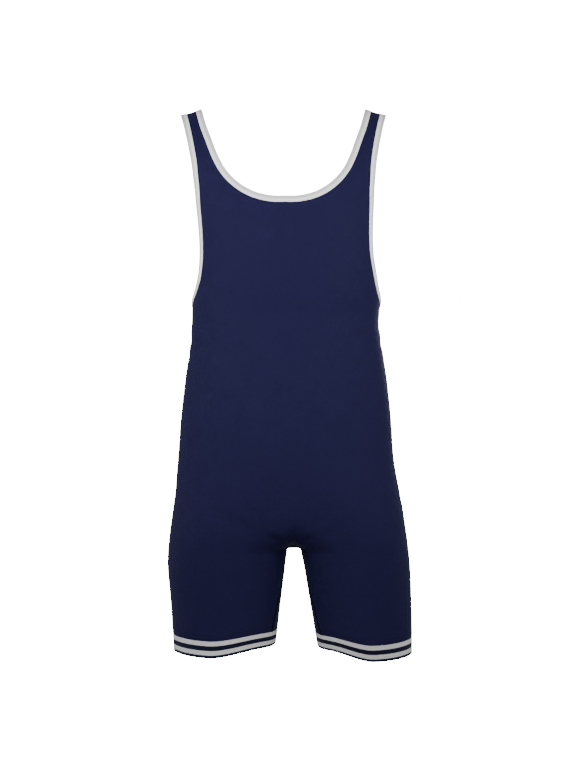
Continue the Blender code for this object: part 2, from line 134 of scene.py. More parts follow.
# Edges of the openings: distance from the centre line at each level, from the strap top down
Cut = namedtuple("Cut", "reach level")
NECK_FRONT = tuple(Cut(*place) for place in (
    (0.1265, 0.000), (0.1182, -0.030), (0.1072, -0.062), (0.0980, -0.0865),
    (0.0900, -0.1025), (0.0785, -0.118), (0.0700, -0.1262), (0.0597, -0.134),
    (0.0450, -0.1418), (0.0235, -0.1480), (0.0000, -0.1498),
))
NECK_BACK = tuple(Cut(*place) for place in (
    (0.1265, 0.000), (0.1205, -0.030), (0.1125, -0.060), (0.1035, -0.090),
    (0.0920, -0.122), (0.0760, -0.155), (0.0530, -0.184), (0.0270, -0.199),
    (0.0000, -0.203),
))
ARM_FRONT = tuple(Cut(*place) for place in (
    (0.1600, 0.000), (0.1512, -0.033), (0.1454, -0.060), (0.1405, -0.087),
    (0.1370, -0.118), (0.1346, -0.150), (0.1324, -0.180), (0.1315, -0.205),
    (0.1328, -0.235), (0.1370, -0.262), (0.1410, -0.278),
))
ARM_BACK = tuple(Cut(*place) for place in (
    (0.1600, 0.000), (0.1520, -0.030), (0.1425, -0.060), (0.1310, -0.095),
    (0.1200, -0.135), (0.1125, -0.175), (0.1110, -0.210), (0.1160, -0.240),
    (0.1265, -0.266), (0.1370, -0.283),
))
UNDERARM = -0.2925
UNDERARM_SAG = 0.018
SAG_POWER = 4
SINK_POWER = 2
BOWL_END = -0.103
STRAP_BASE = -0.112

# Heights of the lower rows of facets, and the shares of the way from crotch to hem
RISE_ROWS = (-0.528, -0.553, -0.577, -0.600, -0.620, -0.637, -0.650, -0.661, -0.669, -0.6735, CROTCH)
LEG_SHARES = (0.0045, 0.0155, 0.045, 0.11, 0.20, 0.34, 0.50, 0.67, 0.84, 1.0)

# Legs: how far the inside moves out for each metre down, the hem's lowest level, how much higher it is at
# the inseam and at the outer side, the part of the way from outer side to inseam over which it rises, and
# how far the band's lower edge is drawn in at the front
Leg = namedtuple("Leg", "name side spread hem inner_rise outer_rise rise_start rise_span tuck")
LEGS = (
    Leg("left", -1, 0.122, -0.8085, 0.0105, 0.0028, -0.30, 1.10, 0.000),
    Leg("right", 1, 0.172, -0.8145, 0.0120, 0.0037, -0.15, 0.95, 0.005),
)
HEM_BACK_RISE = 0.004
BAND_DRAWN_UP = 0.12

# Creases: a soft trough through three places, given as distance across from x = 0 and level, with its
# depth and half width. Those on the sides of the body give the distance forward of the side seam instead.
Crease = namedtuple("Crease", "face start middle end depth width")
CREASES = tuple(Crease(*row) for row in (
    ("front", (-0.0015, -0.6600), (-0.0130, -0.6530), (-0.0290, -0.6450), 0.0019, 0.0058),
    ("front", (0.0235, -0.6610), (0.0335, -0.6550), (0.0470, -0.6490), 0.0012, 0.0054),
    ("front", (-0.0300, -0.6560), (-0.0700, -0.6290), (-0.1120, -0.6060), 0.0009, 0.0100),
    ("front", (0.0330, -0.6600), (0.0800, -0.6380), (0.1130, -0.6240), 0.0007, 0.0090),
    ("front", (-0.0260, -0.6400), (-0.0520, -0.6120), (-0.0760, -0.5800), 0.0005, 0.0080),
    ("front", (0.0400, -0.6420), (0.0610, -0.6210), (0.0800, -0.5920), 0.0005, 0.0080),
    ("front", (-0.0330, -0.6900), (-0.0390, -0.7250), (-0.0480, -0.7640), 0.0006, 0.0065),
    ("front", (0.0470, -0.6880), (0.0560, -0.7200), (0.0620, -0.7500), 0.0006, 0.0060),
    ("front", (-0.1380, -0.3300), (-0.1120, -0.3390), (-0.0830, -0.3360), 0.0006, 0.0085),
    ("front", (-0.1420, -0.3620), (-0.1160, -0.3720), (-0.0960, -0.3740), 0.0005, 0.0070),
    ("front", (0.1400, -0.3380), (0.1130, -0.3500), (0.0890, -0.3500), 0.0006, 0.0080),
    ("front", (0.1320, -0.2720), (0.1110, -0.2560), (0.0900, -0.2480), 0.0005, 0.0070),
    ("front", (-0.1300, -0.2700), (-0.1130, -0.2580), (-0.0960, -0.2540), 0.0004, 0.0065),
    ("back", (-0.1050, -0.3600), (-0.0150, -0.3710), (0.0880, -0.3590), 0.0013, 0.0095),
    ("back", (-0.0820, -0.3900), (-0.0050, -0.3960), (0.0560, -0.3920), 0.0010, 0.0080),
    ("back", (-0.0400, -0.4160), (0.0210, -0.4210), (0.0940, -0.4110), 0.0008, 0.0085),
    ("back", (-0.1220, -0.3270), (-0.0850, -0.3370), (-0.0480, -0.3350), 0.0007, 0.0080),
    ("back", (0.1180, -0.3300), (0.0800, -0.3420), (0.0500, -0.3400), 0.0007, 0.0080),
    ("back", (-0.0350, -0.6740), (-0.0850, -0.6700), (-0.1320, -0.6520), 0.0015, 0.0095),
    ("back", (0.0450, -0.6760), (0.0980, -0.6720), (0.1400, -0.6590), 0.0014, 0.0090),
    ("back", (-0.0110, -0.6680), (-0.0260, -0.6560), (-0.0420, -0.6380), 0.0012, 0.0055),
    ("back", (0.0150, -0.6690), (0.0290, -0.6590), (0.0470, -0.6440), 0.0011, 0.0055),
    ("back", (-0.0560, -0.7400), (-0.0900, -0.7460), (-0.1230, -0.7380), 0.0008, 0.0080),
    ("back", (0.0700, -0.7520), (0.1010, -0.7570), (0.1330, -0.7470), 0.0008, 0.0080),
    ("back", (-0.1180, -0.2620), (-0.0900, -0.2480), (-0.0640, -0.2430), 0.0006, 0.0075),
    ("back", (0.1200, -0.2600), (0.0950, -0.2500), (0.0720, -0.2500), 0.0005, 0.0075),
    ("left", (0.0250, -0.3460), (-0.0050, -0.3560), (-0.0400, -0.3520), 0.0009, 0.0080),
    ("left", (0.0300, -0.3730), (0.0020, -0.3790), (-0.0260, -0.3760), 0.0007, 0.0075),
    ("right", (0.0300, -0.3540), (-0.0040, -0.3600), (-0.0330, -0.3530), 0.0009, 0.0080),
    ("right", (0.0150, -0.3300), (-0.0160, -0.3360), (-0.0420, -0.3310), 0.0006, 0.0075),
    ("left", (0.0150, -0.5700), (-0.0150, -0.5990), (-0.0480, -0.6130), 0.0006, 0.0095),
    ("right", (0.0120, -0.5850), (-0.0180, -0.6080), (-0.0450, -0.6180), 0.0006, 0.0095),
))

# Steps along a crease, height and place of the lip beside it, how full its ends are, how many half widths
# of a crease or a ridge are worked, and a distance outside the figure
CREASE_STEPS = 10
CREASE_LIP = 0.4
CREASE_LIP_PLACE = 1.8
CREASE_TAPER = 0.8
CREASE_REACH = 4
RIDGE_REACH = 3
FAR = 1.0

# Raised seams: height and half width of the ridge, points along it, how far below the underarm the side
# seams start and how far above the hem all end. The folded hem allowance: its ridge, and how far it lies
# above the hem. How much and how closely both are puckered
SEAM_RISE = 0.00035
SEAM_HALF = 0.0024
SEAM_POINTS = 150
SEAM_START = 0.0110
SEAM_TRIM = 0.0004
INSEAM_POINTS = 60
INSEAM_GROWTH = 1.6
ALLOWANCE_RISE = 0.00035
ALLOWANCE_HALF = 0.0030
ALLOWANCE_UP = 0.0075
PUCKER = 0.00012
PUCKER_RATE = 140.0

# The binding's outer face from its free edge to the fold: share of the width and height in walls
TAPE_FACE = (
    (0.000, 0.10), (0.004, 0.55), (0.030, 0.86), (0.090, 1.00), (0.165, 0.96), (0.215, 0.78), (0.265, 0.96),
    (0.370, 1.08), (0.480, 1.10), (0.560, 1.02), (0.640, 1.10), (0.780, 1.22), (0.900, 1.20), (1.000, 1.10),
)
TAPE_BACK = (
    (1.000, 1.10), (0.800, 1.10), (0.500, 1.05), (0.250, 1.00), (0.060, 0.90), (0.010, 0.55), (0.000, 0.10),
)
TAPE_FOLD_STEPS = 8
TAPE_MIDDLE = 0.5
TAPE_CLEAR = 0.00004
TAPE_STITCH_SHARE = 0.215
TAPE_ROLL_SHARE = 0.56

# The elastic's stripes from its top edge down, as shares of its width
STRIPES = ((0.277, "white"), (0.293, "navy"), (0.272, "white"), (0.158, "navy"))
BAND_ROWS = 10
BAND_ROUND = 4

# Stitches: distance from one to the next, their length, width and height, slant and unevenness
Stitch = namedtuple("Stitch", "spacing length width height slant jitter")
STITCH_INPUTS = tuple(name.capitalize() for name in Stitch._fields)
TAPE_STITCH = Stitch(0.0027, 0.0023, 0.00055, 0.00045, 0.0, 0.05)
SEAM_BAR = Stitch(0.0010, 0.0052, 0.00075, 0.00045, math.radians(72), 0.04)
SEAM_RAIL = Stitch(0.0026, 0.0023, 0.00050, 0.00045, 0.0, 0.05)
HEM_STITCH = Stitch(0.0028, 0.0024, 0.00050, 0.00042, 0.0, 0.05)
STITCH_SEED = 7
BEAD_SEGMENTS = 6
BEAD_RINGS = 4
SEAM_RAIL_OFFSET = 0.0026
HEM_LINES = (0.0030, 0.0080)
STITCH_SINK = -0.00002
BAR_LIFT = 0.0001

# Knit: lean of its V stitches, how sharply wales meet, scale and detail of its mottling and its lustre,
# the mottling's part in the relief, shares of stitch and mottling in the tone, darkest and lightest tone,
# least roughness and its span, gloss, and roughness of the sheen
KNIT_LEAN = 0.55
WALE_EDGE = 6
KNIT_MOTTLE = (38.0, 3.0)
LUSTRE_MOTTLE = (9.0, 1.0, (1.0, 1.0, 0.35))
KNIT_MOTTLE_RELIEF = 0.6
KNIT_TONE_SHARES = (0.5, 0.4)
KNIT_TONES = (0.80, 1.16)
KNIT_ROUGHNESS = (0.46, 0.14)
KNIT_GLOSS = 0.02
KNIT_SHEEN_ROUGHNESS = 0.38

# Binding: sway of its loops, mottling, where the painted shade of the fold starts and ends, how grey that
# painted shade gets, width of the painted dark line of shade at its free edge, shares of that edge shade,
# mottling and rib in the darker tone, that darker tone, and shares of rib, loop and mottling in the relief
LOOP_SWAY = 0.3
TAPE_MOTTLE = (60.0, 3.0)
FOLD_SHADE_SPAN = (0.82, 1.11)
FOLD_SHADE_STRENGTH = 0.9
FREE_EDGE_SHADE = 0.05
TAPE_SHADE_SHARES = (0.35, 0.10, 0.05)
TAPE_SHADE = 0.72
TAPE_RELIEF = (0.7, 0.4, 0.5)
TAPE_ROUGHNESS = (0.62, 0.12)
TAPE_SHEEN = 0.15

# Elastic: sway of its ribs, mottling, the stripes' waver and soft edges, shares of rib, ground and mottling
# in the shade, the shade, and shares of yarn and mottling in the relief
RIB_SWAY = 0.12
BAND_MOTTLE = (70.0, 3.0)
WAVER_MOTTLE = (420.0, 1.0)
WAVER = 0.010
STRIPE_EDGE = 0.006
BAND_SHADE_SHARES = (-0.22, 0.24, 0.12)
BAND_SHADE = 0.8
BAND_RELIEF = (0.35, 0.3)
BAND_ROUGHNESS = (0.60, 0.10)
BAND_GLOSS = 0.08
BAND_SHEEN = 0.02

# Thread: lightest and darkest tone, share of the twist in them, roughness and gloss
THREAD_TONES = (1.1, 0.8)
TWIST_SHARE = 0.6
THREAD_ROUGHNESS = 0.60
THREAD_GLOSS = 0.05

# Strength of each finish's relief, and the sheen's roughness on tape and elastic
KNIT_DEPTH, TAPE_DEPTH, BAND_DEPTH, THREAD_DEPTH = 0.7, 0.6, 0.8, 0.5
SHEEN_ROUGHNESS = 0.5

# The tape's unfolded width in folded widths
TAPE_GROWTH = 2.3

# Camera: size of the picture, distance, scale at the origin and the origin's place in the picture
PHOTO_SIZE = (576, 768)
CAMERA_DISTANCE = 2.4
METRES_PER_PIXEL = 0.00155
ORIGIN_PIXEL = (283.4, 112.0)
SENSOR = 36.0

# Stage and its soft lights: each one's place and size
FLOOR_LEVEL = -1.35
FLOOR_RADIUS = 9.0
DOME_RADIUS = 10.0
PAPER_TONES = (0.86, 0.88)
PAPER_MOTTLE = (3.0, 1.0)
PAPER_ROUGHNESS = 0.9
WHITE_LIGHT = (1.0, 1.0, 1.0)
LIGHT_TARGET = (0.0, 0.0, -0.25)
Lamp = namedtuple("Lamp", "name place size")
LAMPS = (
    Lamp("key", (-0.56, -0.62, -0.08), (0.8, 0.5)),
    Lamp("fill", (0.57, -0.62, -0.10), (0.8, 0.5)),
    Lamp("lift", (0.0, -1.3, -1.2), (1.2, 0.3)),
    Lamp("rim_left", (-1.5, 0.2, -0.4), (0.5, 1.4)),
    Lamp("rim_right", (1.6, 0.3, -0.3), (0.5, 1.4)),
    Lamp("back", (0.4, 1.8, 0.2), (1.6, 1.2)),
)


def ease(share):
    return share * share * (3 - 2 * share)


def smooth_read(knots, values, place, first=None, last=None):
    """Read a smooth curve through values at rising knots, with optional slopes at its two ends."""
    final = len(knots) - 1
    place = min(max(place, knots[0]), knots[final])
    low = 0
    while low < final - 1 and knots[low + 1] < place:
        low += 1

    def rate(low_index):
        return (values[low_index + 1] - values[low_index]) / (knots[low_index + 1] - knots[low_index])

    def slope(index):
        if index == 0:
            return rate(0) if first is None else first
        if index == final:
            return rate(final - 1) if last is None else last
        before = knots[index] - knots[index - 1]
        after = knots[index + 1] - knots[index]
        return (rate(index - 1) * after + rate(index) * before) / (before + after)

    span = knots[low + 1] - knots[low]
    share = (place - knots[low]) / span
    bend = share * (1 - share) * ((1 - share) * slope(low) - share * slope(low + 1)) * span
    return values[low] + ease(share) * (values[low + 1] - values[low]) + bend


SECTION_LEVELS = tuple(-row.level for row in SECTIONS)
SECTION_COLUMNS = {name: tuple(getattr(row, name) for row in SECTIONS) for name in Section._fields}


@lru_cache(maxsize=None)
def section(level):
    return {name: smooth_read(SECTION_LEVELS, values, -level) for name, values in SECTION_COLUMNS.items()}


def height_of(level):
    """Height on the form of a level: the level itself, or the arc's length above the chest."""
    if level <= CHEST:
        return level
    return CHEST - CHEST * math.asin(min(1.0, 1 - level / CHEST))


RIDGE = height_of(0.0)


def leg_spread(side, level):
    """How far the inside of a leg has moved out from the centre line below the crotch."""
    return next(leg.spread for leg in LEGS if leg.side == side) * max(0.0, CROTCH - level)


def arch(level):
    """Half width of the small round arch at the crotch, full a little way down."""
    bend = 1 - min(1.0, max(0.0, CROTCH - level) / ARCH_ROUND)
    return ARCH_HALF * math.sqrt(1 - bend ** 2)


def level_outline(side, share, level, row, depth):
    """Distance from the centre line and fraction of the depth at a share of the way to the side.

    Above the hip the outline is a quarter of a superellipse. Down to the crotch its middle moves out to
    the leg's axis, and an inner arc closes in behind it until the leg is a tube of its own.
    """
    reach = row["left"] if side < 0 else row["right"]
    inside = leg_spread(side, level)
    sunk = min(1.0, max(0.0, (HIP - level) / (HIP - CROTCH)))
    closing = max(LEAST_CLOSING, 1 - (1 - sunk ** CLOSING_DELAY) ** CLOSING_EASE)
    axis = ease(sunk) * (reach + inside) / 2
    radius = reach - axis
    outer_length = ARC_SHARE * (radius + depth)
    inner_length = axis - inside + closing * (ARC_SHARE * (axis - inside + depth) - axis + inside)
    split_share = inner_length / (inner_length + outer_length) if sunk else 0.0
    if share >= split_share or sunk == 0:
        angle = math.pi / 2 * (1 - (share - split_share) / (1 - split_share))
        swing = math.copysign(abs(math.cos(angle)) ** (2 / row["power"]), math.cos(angle))
        return axis + radius * swing, abs(math.sin(angle)) ** (2 / row["power"])
    start = math.acos(closing ** (row["power"] / 2))
    angle = start + (math.pi / 2 - start) * share / split_share
    swing = math.cos(angle) ** (2 / row["power"])
    out = axis - (axis - inside) / closing * swing + arch(level) * swing ** ARCH_FADE
    return out, math.sin(angle) ** (2 / row["power"])


def form(side, turn, height):
    """Point of the form for one side of the figure, -1 left or 1 right."""
    arc = max(0.0, height - CHEST) / -CHEST
    lift = math.sin(arc)
    level = height if height <= CHEST else CHEST - CHEST * lift
    row = section(level)
    turn = turn % 180 if level < CROTCH else turn
    depth = row["front"] if turn <= 90 else row["back"]
    out, fraction = level_outline(side, 1 - abs(90 - turn) / 90, level, row, depth)
    facing = 1 if turn > 90 else -1
    y = facing * depth * math.cos(arc) * fraction + RIDGE_BACK * lift ** 2
    return Vector((row["centre"] + side * out, y, level - SHOULDER_SLOPE * (out - STRAP_MIDDLE) * lift))


def turn_of(cut, back):
    """Turn at which the form lies a cut's distance from the centre line."""
    row = section(cut.level)
    turn = math.degrees(math.asin(min(1.0, (cut.reach / row["right"]) ** (row["power"] / 2))))
    return 180 - turn if back else turn


def trace(points, first_slopes, last_slopes):
    """Closely spaced (length so far, turn, height) along a smooth line through points."""
    knots = [0.0]
    for before, after in zip(points, points[1:]):
        knots.append(knots[-1] + (form(1, *after) - form(1, *before)).length)
    line = []
    travelled = 0.0
    previous = None
    for step in range(TRACE + 1):
        place = knots[-1] * step / TRACE
        turn, height = (
            smooth_read(knots, values, place, first, last)
            for values, first, last in zip(zip(*points), first_slopes, last_slopes)
        )
        here = form(1, turn, height)
        travelled += (here - previous).length if previous else 0.0
        previous = here
        line.append((travelled, turn, height))
    return line


def neck_line(back):
    """Neck opening's edge from the centre to the shoulder ridge."""
    cuts = NECK_BACK if back else NECK_FRONT
    points = [(turn_of(cut, back), height_of(cut.level)) for cut in reversed(cuts)]
    return trace(points, (None, 0.0), (0.0, None))


def arm_line(back):
    """Armhole's edge from the shoulder ridge to the side seam."""
    cuts = ARM_BACK if back else ARM_FRONT
    points = [(turn_of(cut, back), height_of(cut.level)) for cut in cuts] + [(90.0, UNDERARM)]
    return trace(points, (0.0, None), (None, 0.0))


def length_at(line, level):
    """Length along a traced line at which it crosses a level."""
    height = height_of(level)
    for before, after in zip(line, line[1:]):
        if (before[2] - height) * (after[2] - height) <= 0 and before[2] != after[2]:
            share = (height - before[2]) / (after[2] - before[2])
            return before[0] + share * (after[0] - before[0])
    raise ValueError("the line does not cross the level")


def inset(turn, height, heading, distance):
    """Move a place on the form away from an edge with the given heading, square to it."""
    turn_step, height_step = SLOPE_STEPS
    moved = (0.0, 0.0)
    for _ in range(INSET_PASSES):
        mid_turn, mid_height = turn + moved[0] / 2, height + moved[1] / 2
        by_turn = form(1, mid_turn + turn_step, mid_height)
        by_turn = (by_turn - form(1, mid_turn - turn_step, mid_height)) / (2 * turn_step)
        top = min(mid_height + height_step, RIDGE)
        by_height = form(1, mid_turn, top) - form(1, mid_turn, top - 2 * height_step)
        by_height /= 2 * height_step
        edge = by_turn * heading[0] + by_height * heading[1]
        move = (by_height.dot(edge), -by_turn.dot(edge))
        scale = distance / (by_turn * move[0] + by_height * move[1]).length
        moved = (move[0] * scale, move[1] * scale)
    return (turn + moved[0], height + moved[1])


def stations(line, spans, back, raw_edge, tape_width):
    """Cloth edge and tape edge at even places along spans of a traced line.

    Each span is (start, end, count) in lengths. The cloth ends inside the folded tape.
    """
    places = [spans[0][0]]
    for start, end, count in spans:
        places += [start + (end - start) * (step + 1) / count for step in range(count)]
    lengths = [row[0] for row in line]
    sense = -1 if back else 1
    edges, folds = [], []
    for place in places:
        low = max(0, min(len(line) - 2, sum(length < place for length in lengths) - 1))
        before, after = line[low], line[low + 1]
        share = (place - before[0]) / (after[0] - before[0])
        turn, height = (before[axis] + share * (after[axis] - before[axis]) for axis in (1, 2))
        heading = (after[1] - before[1], after[2] - before[2])
        edges.append(inset(turn, height, heading, sense * raw_edge))
        folds.append(inset(turn, height, heading, sense * tape_width))
    return edges, folds


def pin(points, index, turn=None, height=None):
    """Hold one place of a line on a seam's turn or height."""
    was_turn, was_height = points[index]
    points[index] = (was_turn if turn is None else turn, was_height if height is None else height)


def mix(first, second, share):
    """Place a share of the way from one place to another."""
    return tuple(a + (b - a) * share for a, b in zip(first, second))


@lru_cache(maxsize=None)
def openings(back, raw_edge, tape_width):
    """Edges of the neck and the armhole on either half of a panel, and the tape's edges on it."""
    neck, arm = neck_line(back), arm_line(back)
    corner, base = length_at(neck, BOWL_END), length_at(arm, STRAP_BASE)
    neck_spans = ((0.0, corner, BOWL), (corner, neck[-1][0], STRAP))
    arm_spans = ((0.0, base, STRAP), (base, arm[-1][0], FLANK))
    neck_lines = stations(neck, neck_spans, back, raw_edge, tape_width)
    arm_lines = stations(arm, arm_spans, back, raw_edge, tape_width)
    for line in neck_lines:
        pin(line, 0, turn=180.0 if back else 0.0)
        pin(line, -1, height=RIDGE)
    for line in arm_lines:
        pin(line, 0, height=RIDGE)
        pin(line, -1, turn=90.0)
    return neck_lines, arm_lines


def inseam_turn(level):
    """Turn of the inseam, which swings forward from the crotch down the inner leg, at first faster."""
    share = min(1.0, max(0.0, (CROTCH - level) / INSEAM_SWING))
    return INSEAM_TURN * share ** INSEAM_HASTE


def leg_turn(column, level, back):
    """Turn of a column below the arms, from the centre or inseam to the side seam."""
    start = inseam_turn(level) + (180 if back else 0)
    return start + (90 - start) * column / COLUMNS


def inward_place(leg, point):
    """Place across a leg at the hem, from -1 at its outer side to 1 at the inseam."""
    reach = section(leg.hem)["left" if leg.side < 0 else "right"]
    inside = leg_spread(leg.side, leg.hem) + ARCH_HALF
    out = leg.side * (point.x - section(leg.hem)["centre"])
    return (reach + inside - 2 * out) / (reach - inside)


def inner_share(leg, point):
    """How near a point at the hem is to the inseam, from 0 at the outer half to 1."""
    return ease(min(1.0, max(0.0, (inward_place(leg, point) - leg.rise_start) / leg.rise_span)))


def hem_height(leg, column, back):
    """Level of the hem at one column."""
    point = form(leg.side, leg_turn(column, leg.hem, back), leg.hem)
    outer = min(0.0, inward_place(leg, point)) ** 2
    behind = max(0.0, point.y) / section(leg.hem)["back"]
    rise = leg.inner_rise * inner_share(leg, point) + leg.outer_rise * outer + HEM_BACK_RISE * behind
    return leg.hem + rise


def refine(values):
    """Put FINE - 1 more values evenly between each two."""
    finer = [values[0]]
    for before, after in zip(values, values[1:]):
        finer += [before + (after - before) * step / FINE for step in range(1, FINE + 1)]
    return finer


def half_panel(side, back, raw_edge, tape_width):
    """Grids of (turn, height) for one half of a panel, each from its top row down, centre to side."""
    (neck_edge, neck_fold), (arm_edge, arm_fold) = openings(back, raw_edge, tape_width)
    grids = [[neck_edge, neck_fold], [arm_edge, arm_fold]]

    strap = [
        [mix(neck_fold[BOWL + row], arm_fold[STRAP - row], column / STRAP_COLUMNS)
         for column in range(STRAP_COLUMNS + 1)]
        for row in range(STRAP, -1, -1)
    ]
    grids.append(strap)

    top = neck_fold[:BOWL] + strap[-1]
    centre_turn = 180 if back else 0
    underarm = arm_fold[-1][1]
    torso = []
    for row in range(FLANK + 1):
        edge_turn, edge_height = arm_fold[STRAP + row]
        evened = row / FLANK
        sunk = (edge_height - top[-1][1]) / (underarm - top[-1][1])
        cells = []
        for column, (turn, height) in enumerate(top):
            share = column / COLUMNS
            spread = (turn - centre_turn) / (top[-1][0] - centre_turn)
            spread += (share - spread) * evened
            down = evened + (sunk - evened) * share ** SINK_POWER
            fall = underarm - UNDERARM_SAG * (1 - share ** SAG_POWER) - height
            cells.append((centre_turn + (edge_turn - centre_turn) * spread, height + fall * down))
        torso.append(cells)
    grids.append(torso)

    waist = underarm - UNDERARM_SAG
    levels = [waist + (RISE_ROWS[0] - waist) * row / WAIST_ROWS for row in range(1, WAIST_ROWS)]
    lower = [torso[-1]] + [
        [(leg_turn(column, level, back), level) for column in range(COLUMNS + 1)]
        for level in levels + refine(RISE_ROWS)
    ]
    leg = next(leg for leg in LEGS if leg.side == side)
    hems = [hem_height(leg, column, back) for column in range(COLUMNS + 1)]
    for share in refine((0.0,) + LEG_SHARES)[1:]:
        row_levels = [CROTCH + (hem - CROTCH) * share for hem in hems]
        lower.append([(leg_turn(column, level, back), level) for column, level in enumerate(row_levels)])
    grids.append(lower)
    return grids


class Path:
    """Smooth line on the cloth, as points with which the cloth's relief measures its distance."""

    def __init__(self, points):
        self.points = np.array([tuple(point) for point in points])
        steps = np.linalg.norm(np.diff(self.points, axis=0), axis=1)
        self.lengths = np.concatenate(([0.0], np.cumsum(steps)))

    def measure(self, places, normals):
        """Signed distance from the line, and length along it, of each place."""
        best = np.full(len(places), np.inf)
        signed, travelled = np.zeros(len(places)), np.zeros(len(places))
        for index, (start, end) in enumerate(zip(self.points, self.points[1:])):
            run = end - start
            length = np.linalg.norm(run)
            share = np.clip((places - start) @ run / length ** 2, 0.0, 1.0)
            away = places - start - share[:, None] * run
            distance = np.linalg.norm(away, axis=1)
            nearer = distance < best
            side = np.sign(np.einsum("ij,ij->i", np.cross(run, normals), away))
            best[nearer] = distance[nearer]
            signed[nearer] = (distance * side)[nearer]
            travelled[nearer] = (self.lengths[index] + share * length)[nearer]
        return signed, travelled

    def near(self, places, reach):
        """Which places lie within reach of the line's box."""
        low, high = self.points.min(axis=0) - reach, self.points.max(axis=0) + reach
        return np.where(np.all((places > low) & (places < high), axis=1))[0]


def cast_onto(surface, face, across, level):
    """Point of the cloth seen straight on from one face of the figure."""
    if face in ("front", "back"):
        facing = -1 if face == "front" else 1
        origin, direction = Vector((across, facing * FAR, level)), Vector((0, -facing, 0))
    else:
        facing = -1 if face == "left" else 1
        origin, direction = Vector((facing * FAR, -across, level)), Vector((-facing, 0, 0))
    return surface.ray_cast(origin, direction)[0]


def crease_path(surface, crease):
    """Curve through a crease's three places, laid on the cloth."""
    places = []
    for step in range(CREASE_STEPS + 1):
        share = step / CREASE_STEPS
        weights = ((1 - share) * (1 - 2 * share), 4 * share * (1 - share), share * (2 * share - 1))
        corners = (crease.start, crease.middle, crease.end)
        across, level = (sum(weight * corner[axis] for weight, corner in zip(weights, corners))
                         for axis in (0, 1))
        places.append(cast_onto(surface, crease.face, across, level))
    return Path([place for place in places if place is not None])


def seam_lines():
    """Places along the two side seams and the seam between the legs, each from its start to its end."""
    side_lines, inseams = [], []
    for leg in LEGS:
        levels = np.linspace(UNDERARM - SEAM_START, hem_height(leg, COLUMNS, False) + SEAM_TRIM, SEAM_POINTS)
        side_lines.append([form(leg.side, 90, level) for level in levels])
        drop = hem_height(leg, 0, False) + SEAM_TRIM - CROTCH
        levels = CROTCH + drop * np.linspace(0, 1, INSEAM_POINTS) ** INSEAM_GROWTH
        inseams.append([form(leg.side, inseam_turn(level), level) for level in levels])
    left, right = inseams
    return side_lines, left[::-1] + right[1:]


def hem_line(leg, up):
    """Closed line round a leg at a distance above its hem."""
    line = []
    for back in (False, True):
        columns = range(COLUMNS) if not back else range(COLUMNS, 0, -1)
        for column in columns:
            level = hem_height(leg, column, back) + up
            line.append(form(leg.side, leg_turn(column, level, back), level))
    return line


def ridge(places, normals, path, height, half):
    """Rise of the cloth over a raised line, slightly puckered along it."""
    rise = np.zeros(len(places))
    near = path.near(places, RIDGE_REACH * half)
    signed, travelled = path.measure(places[near], normals[near])
    pucker = np.array([noise.noise(Vector((length * PUCKER_RATE, height, 0.0))) for length in travelled])
    rise[near] = (height + PUCKER * pucker) * np.exp(-(signed / half) ** 2)
    return rise


def relief(places, normals, surface, strength):
    """How far each place of the cloth stands out from the form for creases, seams and hem allowance."""
    rise = np.zeros(len(places))
    for crease in CREASES:
        path = crease_path(surface, crease)
        near = path.near(places, CREASE_REACH * crease.width)
        signed, travelled = path.measure(places[near], normals[near])
        across = signed / crease.width
        taper = np.sin(np.pi * np.clip(travelled / path.lengths[-1], 0.0, 1.0)) ** CREASE_TAPER
        trough = -np.exp(-across ** 2) + CREASE_LIP * np.exp(-(across - CREASE_LIP_PLACE) ** 2)
        rise[near] += strength * crease.depth * taper * trough
    side_lines, inseam = seam_lines()
    for line in side_lines + [inseam]:
        rise += ridge(places, normals, Path(line), SEAM_RISE, SEAM_HALF)
    for leg in LEGS:
        loop = hem_line(leg, ALLOWANCE_UP)
        rise += ridge(places, normals, Path(loop + loop[:1]), ALLOWANCE_RISE, ALLOWANCE_HALF)
    return rise


def gusset_rise(place):
    """How much higher than the form the cloth between the legs lies, rising towards the front."""
    offsets = (place.x - GUSSET_MIDDLE[0], place.y, place.z - GUSSET_MIDDLE[1])
    if place.y >= 0 or any(abs(offset) >= reach for offset, reach in zip(offsets, GUSSET_REACH)):
        return 0.0
    fade = math.prod(ease(1 - abs(offset) / reach) for offset, reach in zip(offsets, GUSSET_REACH))
    return -place.y * GUSSET_RISE * min(1.0, 2 * fade)


Skin = namedtuple("Skin", "mesh piece weave surface tree")


